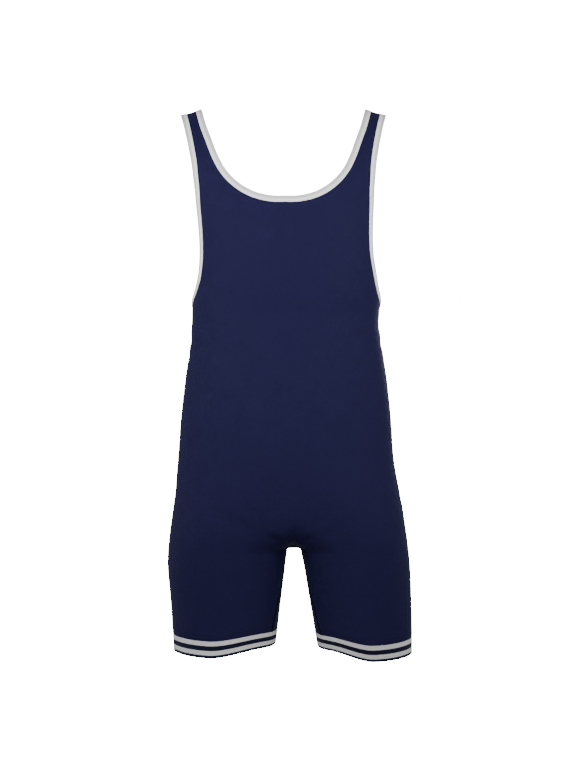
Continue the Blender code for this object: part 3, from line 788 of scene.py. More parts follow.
@lru_cache(maxsize=1)
def build_skin(raw_edge, tape_width, strength):
    """One sheet of the whole outer surface with its relief, faces marked 0 for front and 1 for back."""
    skin = bmesh.new()
    piece = skin.faces.layers.int.new("piece")
    weave = skin.loops.layers.uv.new("weave")
    for back in (False, True):
        for side in (-1, 1):
            turned = (side < 0) != back
            for grid in half_panel(side, back, raw_edge, tape_width):
                rows, uvs = [], []
                for row in grid:
                    points = [form(side, *place) for place in row]
                    centre = section(points[0].z)["centre"]
                    around = [abs(points[0].x - centre) if points[0].z > CROTCH else 0.0]
                    for before, after in zip(points, points[1:]):
                        around.append(around[-1] + (after - before).length)
                    rows.append([skin.verts.new(point) for point in points])
                    uvs.append([(side * reach, place[1]) for reach, place in zip(around, row)])
                for low in range(len(rows) - 1):
                    for column in range(len(rows[low]) - 1):
                        right = column + 1
                        corners = [(low, column), (low + 1, column), (low + 1, right), (low, right)]
                        if turned:
                            corners.reverse()
                        face = skin.faces.new([rows[row][cell] for row, cell in corners])
                        face[piece] = int(back)
                        for loop, (row, cell) in zip(face.loops, corners):
                            loop[weave].uv = uvs[row][cell]
    bmesh.ops.remove_doubles(skin, verts=skin.verts, dist=JOIN)
    skin.normal_update()
    surface = BVHTree.FromBMesh(skin)
    places = np.array([vert.co[:] for vert in skin.verts])
    normals = np.array([vert.normal[:] for vert in skin.verts])
    for vert, rise in zip(skin.verts, relief(places, normals, surface, strength)):
        vert.co += vert.normal * rise
        vert.co.z += gusset_rise(vert.co)
    skin.normal_update()
    skin.verts.ensure_lookup_table()
    tree = KDTree(len(skin.verts))
    for index, vert in enumerate(skin.verts):
        tree.insert(vert.co, index)
    tree.balance()
    return Skin(skin, piece, weave, BVHTree.FromBMesh(skin), tree)


def seam_shift(vert, faces, seam_edges, gap):
    """Half a seam gap, square to the seam and into the piece."""
    inward = sum((face.calc_center_median() - vert.co for face in faces), Vector())
    inward -= vert.normal * inward.dot(vert.normal)
    if len(seam_edges) == 2:
        along = (seam_edges[0].other_vert(vert).co - seam_edges[1].other_vert(vert).co).normalized()
    else:
        along = (seam_edges[0].other_vert(vert).co - vert.co).normalized()
    inward -= along * inward.dot(along)
    return inward.normalized() * (gap / 2)


def thicken(chosen, shift, wall, weave):
    """Closed wall on chosen faces of a sheet, whose inner side lies the wall's thickness in."""
    solid = bmesh.new()
    solid_weave = solid.loops.layers.uv.new("weave")
    outer, inner = {}, {}
    for vert in {vert: None for face in chosen for vert in face.verts}:
        place = vert.co + shift(vert)
        outer[vert] = solid.verts.new(place)
        inner[vert] = solid.verts.new(place - vert.normal * wall)
    for face in chosen:
        loops = list(face.loops)
        layers = [(loops, [outer[loop.vert] for loop in loops])]
        layers.append((loops[::-1], [inner[loop.vert] for loop in loops[::-1]]))
        for loop in loops:
            if sum(other in chosen for other in loop.edge.link_faces) == 1:
                following = loop.link_loop_next
                start, end = loop.vert, following.vert
                rim = [outer[end], outer[start], inner[start], inner[end]]
                layers.append(([following, loop, loop, following], rim))
        for sources, verts in layers:
            made = solid.faces.new(verts)
            for source, target in zip(sources, made.loops):
                target[solid_weave].uv = source[weave].uv
    return solid


def place_object(name, data):
    thing = bpy.data.objects.new(name, data)
    bpy.context.scene.collection.objects.link(thing)
    return thing


def place_shape(name, shape, material):
    """Object from a finished bmesh."""
    mesh = bpy.data.meshes.new(name)
    shape.to_mesh(mesh)
    shape.free()
    mesh.materials.append(material)
    return place_object(name, mesh)


def make_piece(solid, name, material, slot, *nodes):
    """Piece on the root body that dresses the nodes."""
    thing = place_shape(name, solid, material)
    thing.data.shade_smooth()
    thing.data.set_sharp_from_angle(angle=SHARP_ANGLE)
    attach(thing, ROOT)
    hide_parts(*nodes)
    return thing


def panel_piece(skin, mark, sizes):
    """Closed wall of one panel, parted from the other panel along the seams."""
    chosen = [face for face in skin.mesh.faces if face[skin.piece] == mark]
    members = set(chosen)

    def shift(vert):
        seams = [edge for edge in vert.link_edges if len({face[skin.piece] for face in edge.link_faces}) == 2]
        if not seams:
            return Vector()
        return seam_shift(vert, [face for face in vert.link_faces if face in members], seams, sizes.seam_gap)

    return thicken(dict.fromkeys(chosen), shift, sizes.knit_wall, skin.weave)


def tape_ring(edge, fold, edge_normal, fold_normal, knit_wall, tape_wall):
    """Corners of the folded tape round the cloth's edge with each one's share of the width.

    They run from the tape's free edge over its outer face, round the fold and back along its inner face,
    then along the cloth inside the fold.
    """
    beyond = edge - fold
    beyond = (beyond - edge_normal * beyond.dot(edge_normal)).normalized()

    def over(share, rise):
        return fold.lerp(edge, share) + fold_normal.lerp(edge_normal, share).normalized() * rise

    ring = [(over(share, TAPE_CLEAR + walls * tape_wall), share) for share, walls in TAPE_FACE]
    thickest = TAPE_FACE[-1][1] * tape_wall + TAPE_CLEAR
    middle = edge - edge_normal * (knit_wall / 2)
    radius = knit_wall / 2 + thickest
    for step in range(1, TAPE_FOLD_STEPS):
        angle = math.pi * step / TAPE_FOLD_STEPS
        ring.append((middle + (edge_normal * math.cos(angle) + beyond * math.sin(angle)) * radius, 1.0))
    ring += [(over(share, -knit_wall - TAPE_CLEAR - walls * tape_wall), share) for share, walls in TAPE_BACK]
    half = TAPE_CLEAR / 2
    ring += [(over(share, -knit_wall - half), share) for share in (TAPE_MIDDLE, 1.0)]
    ring += [(over(1.0, half) + beyond * TAPE_CLEAR, 1.0), (over(TAPE_MIDDLE, half), TAPE_MIDDLE)]
    return ring


def skin_point(skin, point):
    vert = skin.mesh.verts[skin.tree.find(point)[1]]
    return vert.co.copy(), vert.normal.copy()


def tape_rings(skin, loop, sizes):
    """The tape's cross-sections at each station of a closed loop."""
    rings = []
    for side, edge_place, fold_place in loop:
        edge, edge_normal = skin_point(skin, form(side, *edge_place))
        fold, fold_normal = skin_point(skin, form(side, *fold_place))
        rings.append(tape_ring(edge, fold, edge_normal, fold_normal, sizes.knit_wall, sizes.tape_wall))
    return rings


def tube(rings, spine, width):
    """Closed tube through rings of (place, share of the width), its map's length taken along a spine."""
    solid = bmesh.new()
    weave = solid.loops.layers.uv.new("weave")
    corners = [[solid.verts.new(place) for place, share in ring] for ring in rings]
    around = [0.0]
    for before, after in zip(spine, spine[1:] + spine[:1]):
        around.append(around[-1] + (after - before).length)
    for index, here in enumerate(corners):
        following = corners[(index + 1) % len(corners)]
        for low in range(len(here)):
            high = (low + 1) % len(here)
            face = solid.faces.new([here[low], here[high], following[high], following[low]])
            places = ((index, low), (index, high), (index + 1, high), (index + 1, low))
            for loop, (station, corner) in zip(face.loops, places):
                loop[weave].uv = (around[station], rings[index][corner][1] * width)
    bmesh.ops.recalc_face_normals(solid, faces=solid.faces)
    return solid


def opening_loops(sizes):
    """Stations of the neck's tape and of each armhole's, as (side, edge place, fold place)."""
    cuts = {back: openings(back, sizes.raw_edge(), sizes.tape_width) for back in (False, True)}

    def half(side, back, opening):
        edges, folds = cuts[back][opening]
        return [(side, edge, fold) for edge, fold in zip(edges, folds)]

    neck = half(1, False, 0) + half(1, True, 0)[-2::-1] + half(-1, True, 0)[1:] + half(-1, False, 0)[-2:0:-1]
    armholes = {leg.name: half(leg.side, False, 1) + half(leg.side, True, 1)[-2:0:-1] for leg in LEGS}
    return neck, armholes


def band_piece(leg, sizes):
    """Closed ring of elastic with rounded edges that carries a leg on below the hem."""
    ends = [(column, False) for column in range(COLUMNS + 1)]
    ends += [(column, True) for column in range(COLUMNS - 1, 0, -1)]
    grip = sizes.band_wall / 2
    rows = []
    for share in (row / BAND_ROWS for row in range(BAND_ROWS + 1)):
        points = []
        for column, back in ends:
            turn, level = leg_turn(column, leg.hem, back), hem_height(leg, column, back)
            shortened = 1 - BAND_DRAWN_UP * inner_share(leg, form(leg.side, turn, leg.hem))
            point = form(leg.side, turn, level - sizes.band_gap - sizes.band_width * share * shortened)
            point.y += leg.tuck * share * max(0.0, -point.y) / section(leg.hem)["front"]
            points.append(point)
        rows.append(points)
    count = len(ends)
    normals = []
    for index, row in enumerate(rows):
        above, under = rows[max(0, index - 1)], rows[min(len(rows) - 1, index + 1)]
        normals.append([])
        for column in range(count):
            along = row[(column + 1) % count] - row[column - 1]
            normals[-1].append(leg.side * along.cross(above[column] - under[column]).normalized())
    rings = []
    for column in range(count):
        def side(out):
            return [(row[column] + normal[column] * out, index / BAND_ROWS)
                    for index, (row, normal) in enumerate(zip(rows, normals))]

        down = (rows[-1][column] - rows[0][column]).normalized()
        ring = side(sizes.band_proud)
        for step in range(1, BAND_ROUND):
            angle = math.pi * step / BAND_ROUND
            out = sizes.band_proud - grip + grip * math.cos(angle)
            ring.append((rows[-1][column] + normals[-1][column] * out + down * grip * math.sin(angle), 1.0))
        rings.append(ring + side(sizes.band_proud - sizes.band_wall)[::-1])
    return tube(rings, rows[0], sizes.band_width)


class Value:
    """Output of a node with arithmetic of its own; each operator adds a Math node."""

    def __init__(self, graph, socket):
        self.graph = graph
        self.socket = socket

    def math(self, operation, *others):
        return self.graph.add("ShaderNodeMath", {"operation": operation}, (self,) + others)

    def beside(self, name):
        """Another output of the same node."""
        return Value(self.graph, self.socket.node.outputs[name])

    def __add__(self, other):
        return self.math("ADD", other)

    __radd__ = __add__

    def __mul__(self, other):
        return self.math("MULTIPLY", other)

    __rmul__ = __mul__

    def __sub__(self, other):
        return self.math("SUBTRACT", other)

    def __rsub__(self, other):
        return self.graph.add("ShaderNodeMath", {"operation": "SUBTRACT"}, (other, self))

    def __truediv__(self, other):
        return self.math("DIVIDE", other)

    def __pow__(self, other):
        return self.math("POWER", other)

    def __abs__(self):
        return self.math("ABSOLUTE")

    def fraction(self):
        return self.math("FRACT")

    def ripple(self):
        """Wave between 0 and 1 of this many whole turns."""
        return (self * math.tau).math("SINE") * 0.5 + 0.5

    def spread(self, least, span):
        """Range from least over a span, as this goes from 0 to 1."""
        return self * span + least


class Graph:
    """Node tree of a material, the world or a pattern of stitches."""

    def __init__(self, tree):
        self.tree = tree
        tree.nodes.clear()

    def add(self, kind, settings=None, sockets=(), output=0):
        """Add a node with its settings, then its sockets' values or links; gives the named output."""
        node = self.tree.nodes.new(kind)
        for name, setting in (settings or {}).items():
            if name == "stops":
                ramp = node.color_ramp
                while len(ramp.elements) < len(setting):
                    ramp.elements.new(1.0)
                for element, (place, colour) in zip(ramp.elements, setting):
                    element.position = place
                    element.color = colour
            else:
                setattr(node, name, setting)
        pairs = sockets.items() if isinstance(sockets, dict) else enumerate(sockets)
        for key, value in pairs:
            if isinstance(value, Value):
                self.tree.links.new(value.socket, node.inputs[key])
            else:
                node.inputs[key].default_value = value
        return Value(self, node.outputs[output]) if len(node.outputs) else None

    def blend(self, share, first, second):
        """Mix of two colours."""
        return self.add("ShaderNodeMix", {"data_type": "RGBA"}, {0: share, 6: first, 7: second}, output=2)

    def tones(self, share, colour, factors):
        """One colour between two tones of it."""
        return self.blend(share, *(shade(colour, factor) for factor in factors))

    def weave_uv(self):
        """Metres across and along the cloth, from its own map."""
        uv = self.add("ShaderNodeUVMap", {"uv_map": "weave"})
        across = self.add("ShaderNodeSeparateXYZ", {}, (uv,), output="X")
        return across, across.beside("Y")

    def mottle(self, scale, detail=2.0, stretch=(1.0, 1.0, 1.0)):
        """Soft noise about 0.5 in the object's own coordinates."""
        place = self.add("ShaderNodeTexCoord", {}, {}, output="Object")
        place = self.add("ShaderNodeMapping", {}, {"Vector": place, "Scale": stretch})
        sockets = {"Vector": place, "Scale": scale, "Detail": detail}
        return self.add("ShaderNodeTexNoise", {}, sockets, output="Fac")

    def steps(self, value, start, end):
        """Smooth rise from 0 to 1 between two values."""
        return self.add(
            "ShaderNodeMapRange", {"interpolation_type": "SMOOTHSTEP"},
            {"Value": value, "From Min": start, "From Max": end, "To Min": 0.0, "To Max": 1.0},
        )

    def finish(self, height, distance, strength, **looks):
        """Bump, shader and output; looks are the shader's sockets with _ for a space."""
        bump = self.add("ShaderNodeBump", {}, {"Height": height, "Distance": distance, "Strength": strength})
        sockets = {name.replace("_", " "): value for name, value in looks.items()}
        sockets["Normal"] = bump
        shader = self.add("ShaderNodeBsdfPrincipled", {}, sockets)
        self.add("ShaderNodeOutputMaterial", {}, {"Surface": shader})


def new_material(name):
    material = bpy.data.materials.new(name)
    material.use_nodes = True
    return material, Graph(material.node_tree)


def shade(colour, factor=1.0):
    """Opaque colour, lighter or darker by a factor."""
    return tuple(channel * factor for channel in colour[:3]) + (1.0,)


def knit_material(colours, sizes):
    """Smooth warp-knit stretch cloth: fine wales of V stitches under a soft sheen."""
    material, graph = new_material("stretch_knit")
    across, along = graph.weave_uv()
    slope = abs((across / sizes.wale).fraction() - 0.5) * 2
    stitch = (along / sizes.course + slope * KNIT_LEAN).ripple() * (1 - slope ** WALE_EDGE)
    cloth = graph.mottle(*KNIT_MOTTLE)
    of_stitch, of_cloth = KNIT_TONE_SHARES
    graph.finish(
        stitch + cloth * KNIT_MOTTLE_RELIEF, sizes.knit_bump, KNIT_DEPTH,
        Base_Color=graph.tones(stitch * of_stitch + cloth * of_cloth, colours.navy, KNIT_TONES),
        Roughness=graph.mottle(*LUSTRE_MOTTLE).spread(*KNIT_ROUGHNESS),
        Specular_IOR_Level=KNIT_GLOSS,
        Sheen_Weight=colours.sheen,
        Sheen_Roughness=KNIT_SHEEN_ROUGHNESS,
        Sheen_Tint=shade(colours.sheen_tint),
    )
    return material


def binding_material(colours, sizes):
    """Folded rib tape, greyed by painted shade where it rolls over the fold, with a painted dark line of
    shade along its free edge.
    """
    material, graph = new_material("rib_binding")
    across, along = graph.weave_uv()
    rib = (along / sizes.tape_rib).ripple()
    loop = (across / sizes.tape_loop + rib * LOOP_SWAY).ripple()
    cloth = graph.mottle(*TAPE_MOTTLE)
    # Painted shade: the tape greys where it rolls towards the fold
    fold_shade = graph.steps(along, *(sizes.tape_width * TAPE_ROLL_SHARE * share for share in FOLD_SHADE_SPAN))
    # Painted shade: a dark line along the tape's free edge, where it lies on the knit
    edge = 1 - graph.steps(along, 0.0, sizes.tape_width * FREE_EDGE_SHADE)
    colour = graph.blend(fold_shade * FOLD_SHADE_STRENGTH, shade(colours.white), shade(colours.white_rolled))
    of_edge_shade, of_cloth, of_rib = TAPE_SHADE_SHARES
    share = edge * of_edge_shade + cloth * of_cloth + rib * of_rib
    rib_relief, loop_relief, cloth_relief = TAPE_RELIEF
    graph.finish(
        rib * rib_relief + loop * loop_relief + cloth * cloth_relief, sizes.tape_bump, TAPE_DEPTH,
        Base_Color=graph.blend(share, colour, shade(colours.white_rolled, TAPE_SHADE)),
        Roughness=cloth.spread(*TAPE_ROUGHNESS),
        Sheen_Weight=TAPE_SHEEN,
        Sheen_Roughness=SHEEN_ROUGHNESS,
    )
    return material


def elastic_material(colours, sizes):
    """Woven leg elastic: white and navy stripes, crossed by fine ribs."""
    material, graph = new_material("woven_elastic")
    across, along = graph.weave_uv()
    yarn = (along / sizes.yarn).ripple()
    rib = (across / sizes.rib + yarn * RIB_SWAY).ripple()
    cloth = graph.mottle(*BAND_MOTTLE)
    waver = graph.mottle(*WAVER_MOTTLE).spread(-WAVER / 2, WAVER)
    inks = {"white": shade(colours.elastic_white), "navy": shade(colours.elastic_navy)}
    stops = []
    top = 0.0
    for share, ink in STRIPES:
        stops += [(top + STRIPE_EDGE, inks[ink]), (top + share - STRIPE_EDGE, inks[ink])]
        top += share
    stops[0], stops[-1] = (0.0, stops[0][1]), (1.0, stops[-1][1])
    stripe = graph.add("ShaderNodeValToRGB", {"stops": stops}, (along / sizes.band_width + waver,))
    of_rib, ground, of_cloth = BAND_SHADE_SHARES
    share = rib * of_rib + ground + cloth * of_cloth
    yarn_relief, cloth_relief = BAND_RELIEF
    graph.finish(
        rib + yarn * yarn_relief + cloth * cloth_relief, sizes.rib_bump, BAND_DEPTH,
        Base_Color=graph.blend(share, stripe, shade(colours.elastic_navy, BAND_SHADE)),
        Roughness=cloth.spread(*BAND_ROUGHNESS),
        Specular_IOR_Level=BAND_GLOSS,
        Sheen_Weight=BAND_SHEEN,
        Sheen_Roughness=SHEEN_ROUGHNESS,
    )
    return material


def thread_material(name, colour, sizes):
    """Twisted sewing thread."""
    material, graph = new_material(name)
    place = graph.add("ShaderNodeTexCoord", {}, {}, output="Object")
    parts = graph.add("ShaderNodeSeparateXYZ", {}, (place,), output="X")
    twist = ((parts + parts.beside("Y") + parts.beside("Z")) / sizes.thread_twist).ripple()
    graph.finish(
        twist, sizes.thread_bump, THREAD_DEPTH,
        Base_Color=graph.tones(twist * TWIST_SHARE, colour, THREAD_TONES),
        Roughness=THREAD_ROUGHNESS,
        Specular_IOR_Level=THREAD_GLOSS,
    )
    return material


def stitch_group(name, material):
    """Geometry nodes that lay a bead of thread at even steps along lines, turned to the cloth's normal."""
    tree = bpy.data.node_groups.new(name, "GeometryNodeTree")
    graph = Graph(tree)
    inputs = {"Geometry": "Geometry", **dict.fromkeys(STITCH_INPUTS, "Float"), "Seed": "Int"}
    for label, kind in inputs.items():
        tree.interface.new_socket(label, in_out="INPUT", socket_type="NodeSocket" + kind)
    tree.interface.new_socket("Geometry", in_out="OUTPUT", socket_type="NodeSocketGeometry")
    given = graph.add("NodeGroupInput", {}, {}, output="Geometry")
    lines = graph.add("GeometryNodeMeshToCurve", {}, {"Mesh": given})
    points = graph.add(
        "GeometryNodeCurveToPoints", {"mode": "LENGTH"}, {"Curve": lines, "Length": given.beside("Spacing")},
    )
    outward = graph.add("GeometryNodeInputNamedAttribute", {"data_type": "FLOAT_VECTOR"}, {"Name": "outward"})
    facing = graph.add(
        "FunctionNodeAxesToRotation", {"primary_axis": "Z", "secondary_axis": "X"},
        {"Primary Axis": outward, "Secondary Axis": points.beside("Tangent")},
    )
    uneven = graph.add(
        "FunctionNodeRandomValue", {"data_type": "FLOAT"},
        {2: given.beside("Jitter") * -1, 3: given.beside("Jitter"), "Seed": given.beside("Seed")}, output=1,
    )
    swing = graph.add("ShaderNodeCombineXYZ", {}, {"Z": given.beside("Slant") + uneven})
    turned = graph.add(
        "FunctionNodeRotateRotation", {"rotation_space": "LOCAL"}, {"Rotation": facing, "Rotate By": swing},
    )
    round_bead = {"Segments": BEAD_SEGMENTS, "Rings": BEAD_RINGS, "Radius": 0.5}
    bead = graph.add("GeometryNodeMeshUVSphere", {}, round_bead)
    sizes = graph.add(
        "ShaderNodeCombineXYZ", {},
        (given.beside("Length"), given.beside("Width"), given.beside("Height")),
    )
    bead = graph.add("GeometryNodeTransform", {}, {"Geometry": bead, "Scale": sizes})
    laid = graph.add(
        "GeometryNodeInstanceOnPoints", {}, {"Points": points, "Instance": bead, "Rotation": turned},
    )
    made = graph.add("GeometryNodeRealizeInstances", {}, {"Geometry": laid})
    made = graph.add("GeometryNodeSetShadeSmooth", {}, {"Geometry": made})
    made = graph.add("GeometryNodeSetMaterial", {}, {"Geometry": made, "Material": material})
    graph.add("NodeGroupOutput", {}, {"Geometry": made})
    return tree


def sew(name, lines, stitch, material):
    """One mesh of stitches along lines of (point, normal); a closed line ends on its first point."""
    verts, edges, outward = [], [], []
    for line in lines:
        first = len(verts)
        verts += [point for point, normal in line]
        outward += [normal for point, normal in line]
        edges += [(first + index, first + index + 1) for index in range(len(line) - 1)]
    guide_mesh = bpy.data.meshes.new(name + "_line")
    guide_mesh.from_pydata(verts, edges, [])
    normals = guide_mesh.attributes.new("outward", "FLOAT_VECTOR", "POINT")
    normals.data.foreach_set("vector", [value for normal in outward for value in normal])
    guide = place_object(name + "_line", guide_mesh)
    modifier = guide.modifiers.new("Stitches", "NODES")
    tree = stitch_group(name + "_stitches", material)
    modifier.node_group = tree
    values = dict(zip(STITCH_INPUTS, stitch), Seed=STITCH_SEED)
    for item in tree.interface.items_tree:
        if item.in_out == "INPUT" and item.name in values:
            modifier[item.identifier] = values[item.name]
    graph = bpy.context.evaluated_depsgraph_get()
    mesh = bpy.data.meshes.new_from_object(guide.evaluated_get(graph))
    guide.modifiers.clear()
    bpy.data.objects.remove(guide, do_unlink=True)
    mesh.name = name
    mesh.materials.clear()
    mesh.materials.append(material)
    mesh.polygons.foreach_set("material_index", [0] * len(mesh.polygons))
    thing = place_object(name, mesh)
    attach(thing, ROOT)


def laid_line(surface, points, aside=0.0, up=0.0):
    """Points of a line laid on the cloth, moved aside along it and up from it, with their normals."""
    line = []
    last = len(points) - 1
    for index, point in enumerate(points):
        along = (points[min(last, index + 1)] - points[max(0, index - 1)]).normalized()
        here, normal = surface.find_nearest(point)[:2]
        across = normal.cross(along).normalized()
        here, normal = surface.find_nearest(here + across * aside)[:2]
        line.append((here + normal * up, normal))
    return line


Length = partial(bpy.props.FloatProperty, unit="LENGTH")
Power = partial(bpy.props.FloatProperty, unit="POWER")
Colour = partial(bpy.props.FloatVectorProperty, subtype="COLOR")


class SingletSizes(bpy.types.PropertyGroup):
    """Sizes of the singlet's cloth, tape, elastic and thread."""

    knit_wall: Length(name="Knit wall", description="Thickness of the knit", default=0.0010)
    seam_gap: Length(name="Seam gap", description="Gap between sewn panels", default=0.00003)
    crease: bpy.props.FloatProperty(name="Creases", description="Strength of the creases", default=1.0)
    wale: Length(name="Wale", description="Width of one column of knit", default=0.00075)
    course: Length(name="Course", description="Height of one row of knit", default=0.0006)
    knit_bump: Length(name="Knit relief", description="Depth of the knit", default=0.00008)
    tape_width: Length(name="Binding width", description="Width of the folded binding", default=0.0100)
    tape_wall: Length(name="Binding wall", description="Thickness of the binding", default=0.00085)
    tape_rib: Length(name="Binding rib", description="Distance between ribs of the binding", default=0.0009)
    tape_loop: Length(name="Binding loop", description="Length of a loop of the binding", default=0.0008)
    tape_bump: Length(name="Binding relief", description="Depth of the binding's ribs", default=0.00012)
    band_width: Length(name="Elastic width", description="Width of the leg elastic", default=0.0250)
    band_wall: Length(name="Elastic wall", description="Thickness of the leg elastic", default=0.0016)
    band_proud: Length(name="Elastic step", description="Step from the knit to the elastic", default=0.0002)
    band_gap: Length(name="Elastic gap", description="Gap between knit and elastic", default=0.0002)
    rib: Length(name="Elastic rib", description="Distance between ribs of the elastic", default=0.0014)
    yarn: Length(name="Elastic yarn", description="Distance between yarns of the elastic", default=0.0008)
    rib_bump: Length(name="Elastic relief", description="Depth of the elastic's ribs", default=0.00016)
    thread_twist: Length(name="Thread twist", description="Length of one twist of thread", default=0.0005)
    thread_bump: Length(name="Thread relief", description="Depth of the thread's twist", default=0.00004)

    def raw_edge(self):
        """Distance from the opening to the cloth's cut edge, inside the fold of the tape."""
        return self.knit_wall / 2 + TAPE_CLEAR + TAPE_FACE[-1][1] * self.tape_wall


class SingletColours(bpy.types.PropertyGroup):
    """Colours of the singlet's cloth, tape, elastic and thread."""

    navy: Colour(name="Navy", description="Knit", default=(0.0120, 0.0107, 0.0425))
    sheen: bpy.props.FloatProperty(name="Sheen", description="Strength of the knit's sheen", default=0.05)
    sheen_tint: Colour(
        name="Sheen tint", description="Colour of the knit's sheen", default=(0.35, 0.45, 1.0))
    white: Colour(name="Binding", description="Binding next to the knit", default=(0.95, 0.94, 0.97))
    # Grey of the painted shade on the binding's fold and along its free edge
    white_rolled: Colour(
        name="Rolled binding", description="Binding at its fold", default=(0.58, 0.58, 0.57))
    elastic_white: Colour(name="Elastic white", description="White stripes", default=(0.74, 0.74, 0.75))
    elastic_navy: Colour(name="Elastic navy", description="Navy stripes", default=(0.0050, 0.0055, 0.0220))
    # Navy seam thread, darkened near black so that its stitches paint the shade on the strap tops and just
    # above the leg bands
    navy_thread: Colour(name="Navy thread", description="Seam thread", default=(0.0018, 0.0018, 0.0070))
    white_thread: Colour(name="White thread", description="Binding thread", default=(0.80, 0.80, 0.82))


class StageLights(bpy.types.PropertyGroup):
    """Strengths of the studio's lights."""

    key: Power(name="Key", description="Power of the left light", default=8.6)
    fill: Power(name="Fill", description="Power of the right light", default=7.6)
    lift: Power(name="Lift", description="Power of the low front light", default=2.5)
    rim_left: Power(name="Left rim", description="Power of the light beyond the left side", default=4.0)
    rim_right: Power(name="Right rim", description="Power of the light beyond the right side", default=3.0)
    back: Power(name="Back", description="Power of the light behind the singlet", default=22.0)
    sky: bpy.props.FloatProperty(
        name="Sky", description="Strength of the light from all round", default=0.32)
    backdrop: bpy.props.FloatProperty(
        name="Backdrop", description="Brightness of the backdrop and floor", default=26.0)


def worked_skin(context):
    sizes = context.scene.singlet_sizes
    return build_skin(sizes.raw_edge(), sizes.tape_width, sizes.crease)


def shared_material(name, make, *values):
    """A material that several pieces share, made once."""
    return bpy.data.materials.get(name) or make(*values)


class SINGLET_OT_panels(bpy.types.Operator):
    """Build the front and back panels of knit"""

    bl_idname = "singlet.panels"
    bl_label = "Knit panels"

    def execute(self, context):
        sizes, colours = context.scene.singlet_sizes, context.scene.singlet_colours
        skin = worked_skin(context)
        knit = shared_material("stretch_knit", knit_material, colours, sizes)
        for mark, name in enumerate(("front", "back")):
            nodes = [name + "_" + run for run in RUNS]
            cloth = make_piece(panel_piece(skin, mark, sizes), name + "_cloth", knit, "navy_knit", *nodes)
        return {"FINISHED"}


class SINGLET_OT_bindings(bpy.types.Operator):
    """Build the folded bindings of the neck and the armholes with their stitching"""

    bl_idname = "singlet.bindings"
    bl_label = "Bindings"

    def execute(self, context):
        sizes, colours = context.scene.singlet_sizes, context.scene.singlet_colours
        skin = worked_skin(context)
        tape = shared_material("rib_binding", binding_material, colours, sizes)
        thread = shared_material("white_thread", thread_material, "white_thread", colours.white_thread, sizes)
        neck, armholes = opening_loops(sizes)
        groove = next(index for index, row in enumerate(TAPE_FACE) if row[0] == TAPE_STITCH_SHARE)
        loops = [("neck", "neck_binding", neck)]
        loops += [("armhole_" + name, "armhole_binding_" + name, loop) for name, loop in armholes.items()]
        for name, node, loop in loops:
            rings = tape_rings(skin, loop, sizes)
            length = sum((b[0][0] - a[0][0]).length for a, b in zip(rings, rings[1:] + rings[:1]))
            solid = tube(rings, [ring[0][0] for ring in rings], sizes.tape_width)
            piece = make_piece(solid, name + "_tape", tape, "white_binding", node)
            sizes.tape_width * TAPE_GROWTH
            bottoms = [ring[groove][0] for ring in rings]
            line = [(bottom, skin.surface.find_nearest(bottom)[1]) for bottom in bottoms]
            sew(name + "_stitching", [line + line[:1]], TAPE_STITCH, thread)
        return {"FINISHED"}


class SINGLET_OT_elastics(bpy.types.Operator):
    """Build the striped elastic bands of the legs"""

    bl_idname = "singlet.elastics"
    bl_label = "Leg elastic"

    def execute(self, context):
        sizes, colours = context.scene.singlet_sizes, context.scene.singlet_colours
        elastic = shared_material("woven_elastic", elastic_material, colours, sizes)
        for leg in LEGS:
            line = hem_line(leg, 0.0)
            piece = make_piece(
                band_piece(leg, sizes), "leg_elastic_" + leg.name, elastic, "striped_elastic",
                "leg_band_" + leg.name,
            )
        return {"FINISHED"}


class SINGLET_OT_seams(bpy.types.Operator):
    """Sew the flat seams at the sides, between the legs and on the shoulders, and the hems"""

    bl_idname = "singlet.seams"
    bl_label = "Seams"

    def execute(self, context):
        sizes, colours = context.scene.singlet_sizes, context.scene.singlet_colours
        surface = worked_skin(context).surface
        # The navy thread is darkened to paint shade on the strap tops and just above the leg bands
        thread = shared_material("navy_thread", thread_material, "navy_thread", colours.navy_thread, sizes)
        side_lines, inseam = seam_lines()
        neck_lines, arm_lines = openings(False, sizes.raw_edge(), sizes.tape_width)
        steps = [step / STRAP_COLUMNS for step in range(STRAP_COLUMNS + 1)]
        across = [mix(neck_lines[1][-1], arm_lines[1][0], step) for step in steps]
        seams = [("side_" + leg.name, line) for leg, line in zip(LEGS, side_lines)] + [("inseam", inseam)]
        seams += [("shoulder_" + leg.name, [form(leg.side, *place) for place in across]) for leg in LEGS]
        for name, line in seams:
            sew(name + "_bars", [laid_line(surface, line, 0.0, BAR_LIFT)], SEAM_BAR, thread)
            offsets = (-SEAM_RAIL_OFFSET, SEAM_RAIL_OFFSET)
            rails = [laid_line(surface, line, aside, STITCH_SINK) for aside in offsets]
            sew(name + "_rails", rails, SEAM_RAIL, thread)
        for leg in LEGS:
            lines = []
            for up in HEM_LINES:
                loop = hem_line(leg, up)
                lines.append(laid_line(surface, loop + loop[:1], 0.0, STITCH_SINK))
            sew("hem_stitching_" + leg.name, lines, HEM_STITCH, thread)
        return {"FINISHED"}


def soft_light(lamp, power):
    """Rectangular soft light that faces the chest."""
    data = bpy.data.lights.new(lamp.name, "AREA")
    data.shape = "RECTANGLE"
    data.size, data.size_y = lamp.size
    data.energy = power
    light = place_object(lamp.name, data)
    light.location = lamp.place
    light.visible_camera = False
    light.rotation_euler = (Vector(LIGHT_TARGET) - Vector(lamp.place)).to_track_quat("-Z", "Y").to_euler()


def stage_material(name, brightness):
    """Plain white paint that also glows, so that it photographs as bare paper."""
    material, graph = new_material(name)
    paint = graph.blend(graph.mottle(*PAPER_MOTTLE), *(shade(WHITE_LIGHT, tone) for tone in PAPER_TONES))
    glow = {"Emission Color": shade(WHITE_LIGHT), "Emission Strength": brightness}
    looks = {"Base Color": paint, "Roughness": PAPER_ROUGHNESS, **glow}
    shader = graph.add("ShaderNodeBsdfPrincipled", {}, looks)
    graph.add("ShaderNodeOutputMaterial", {}, {"Surface": shader})
    return material


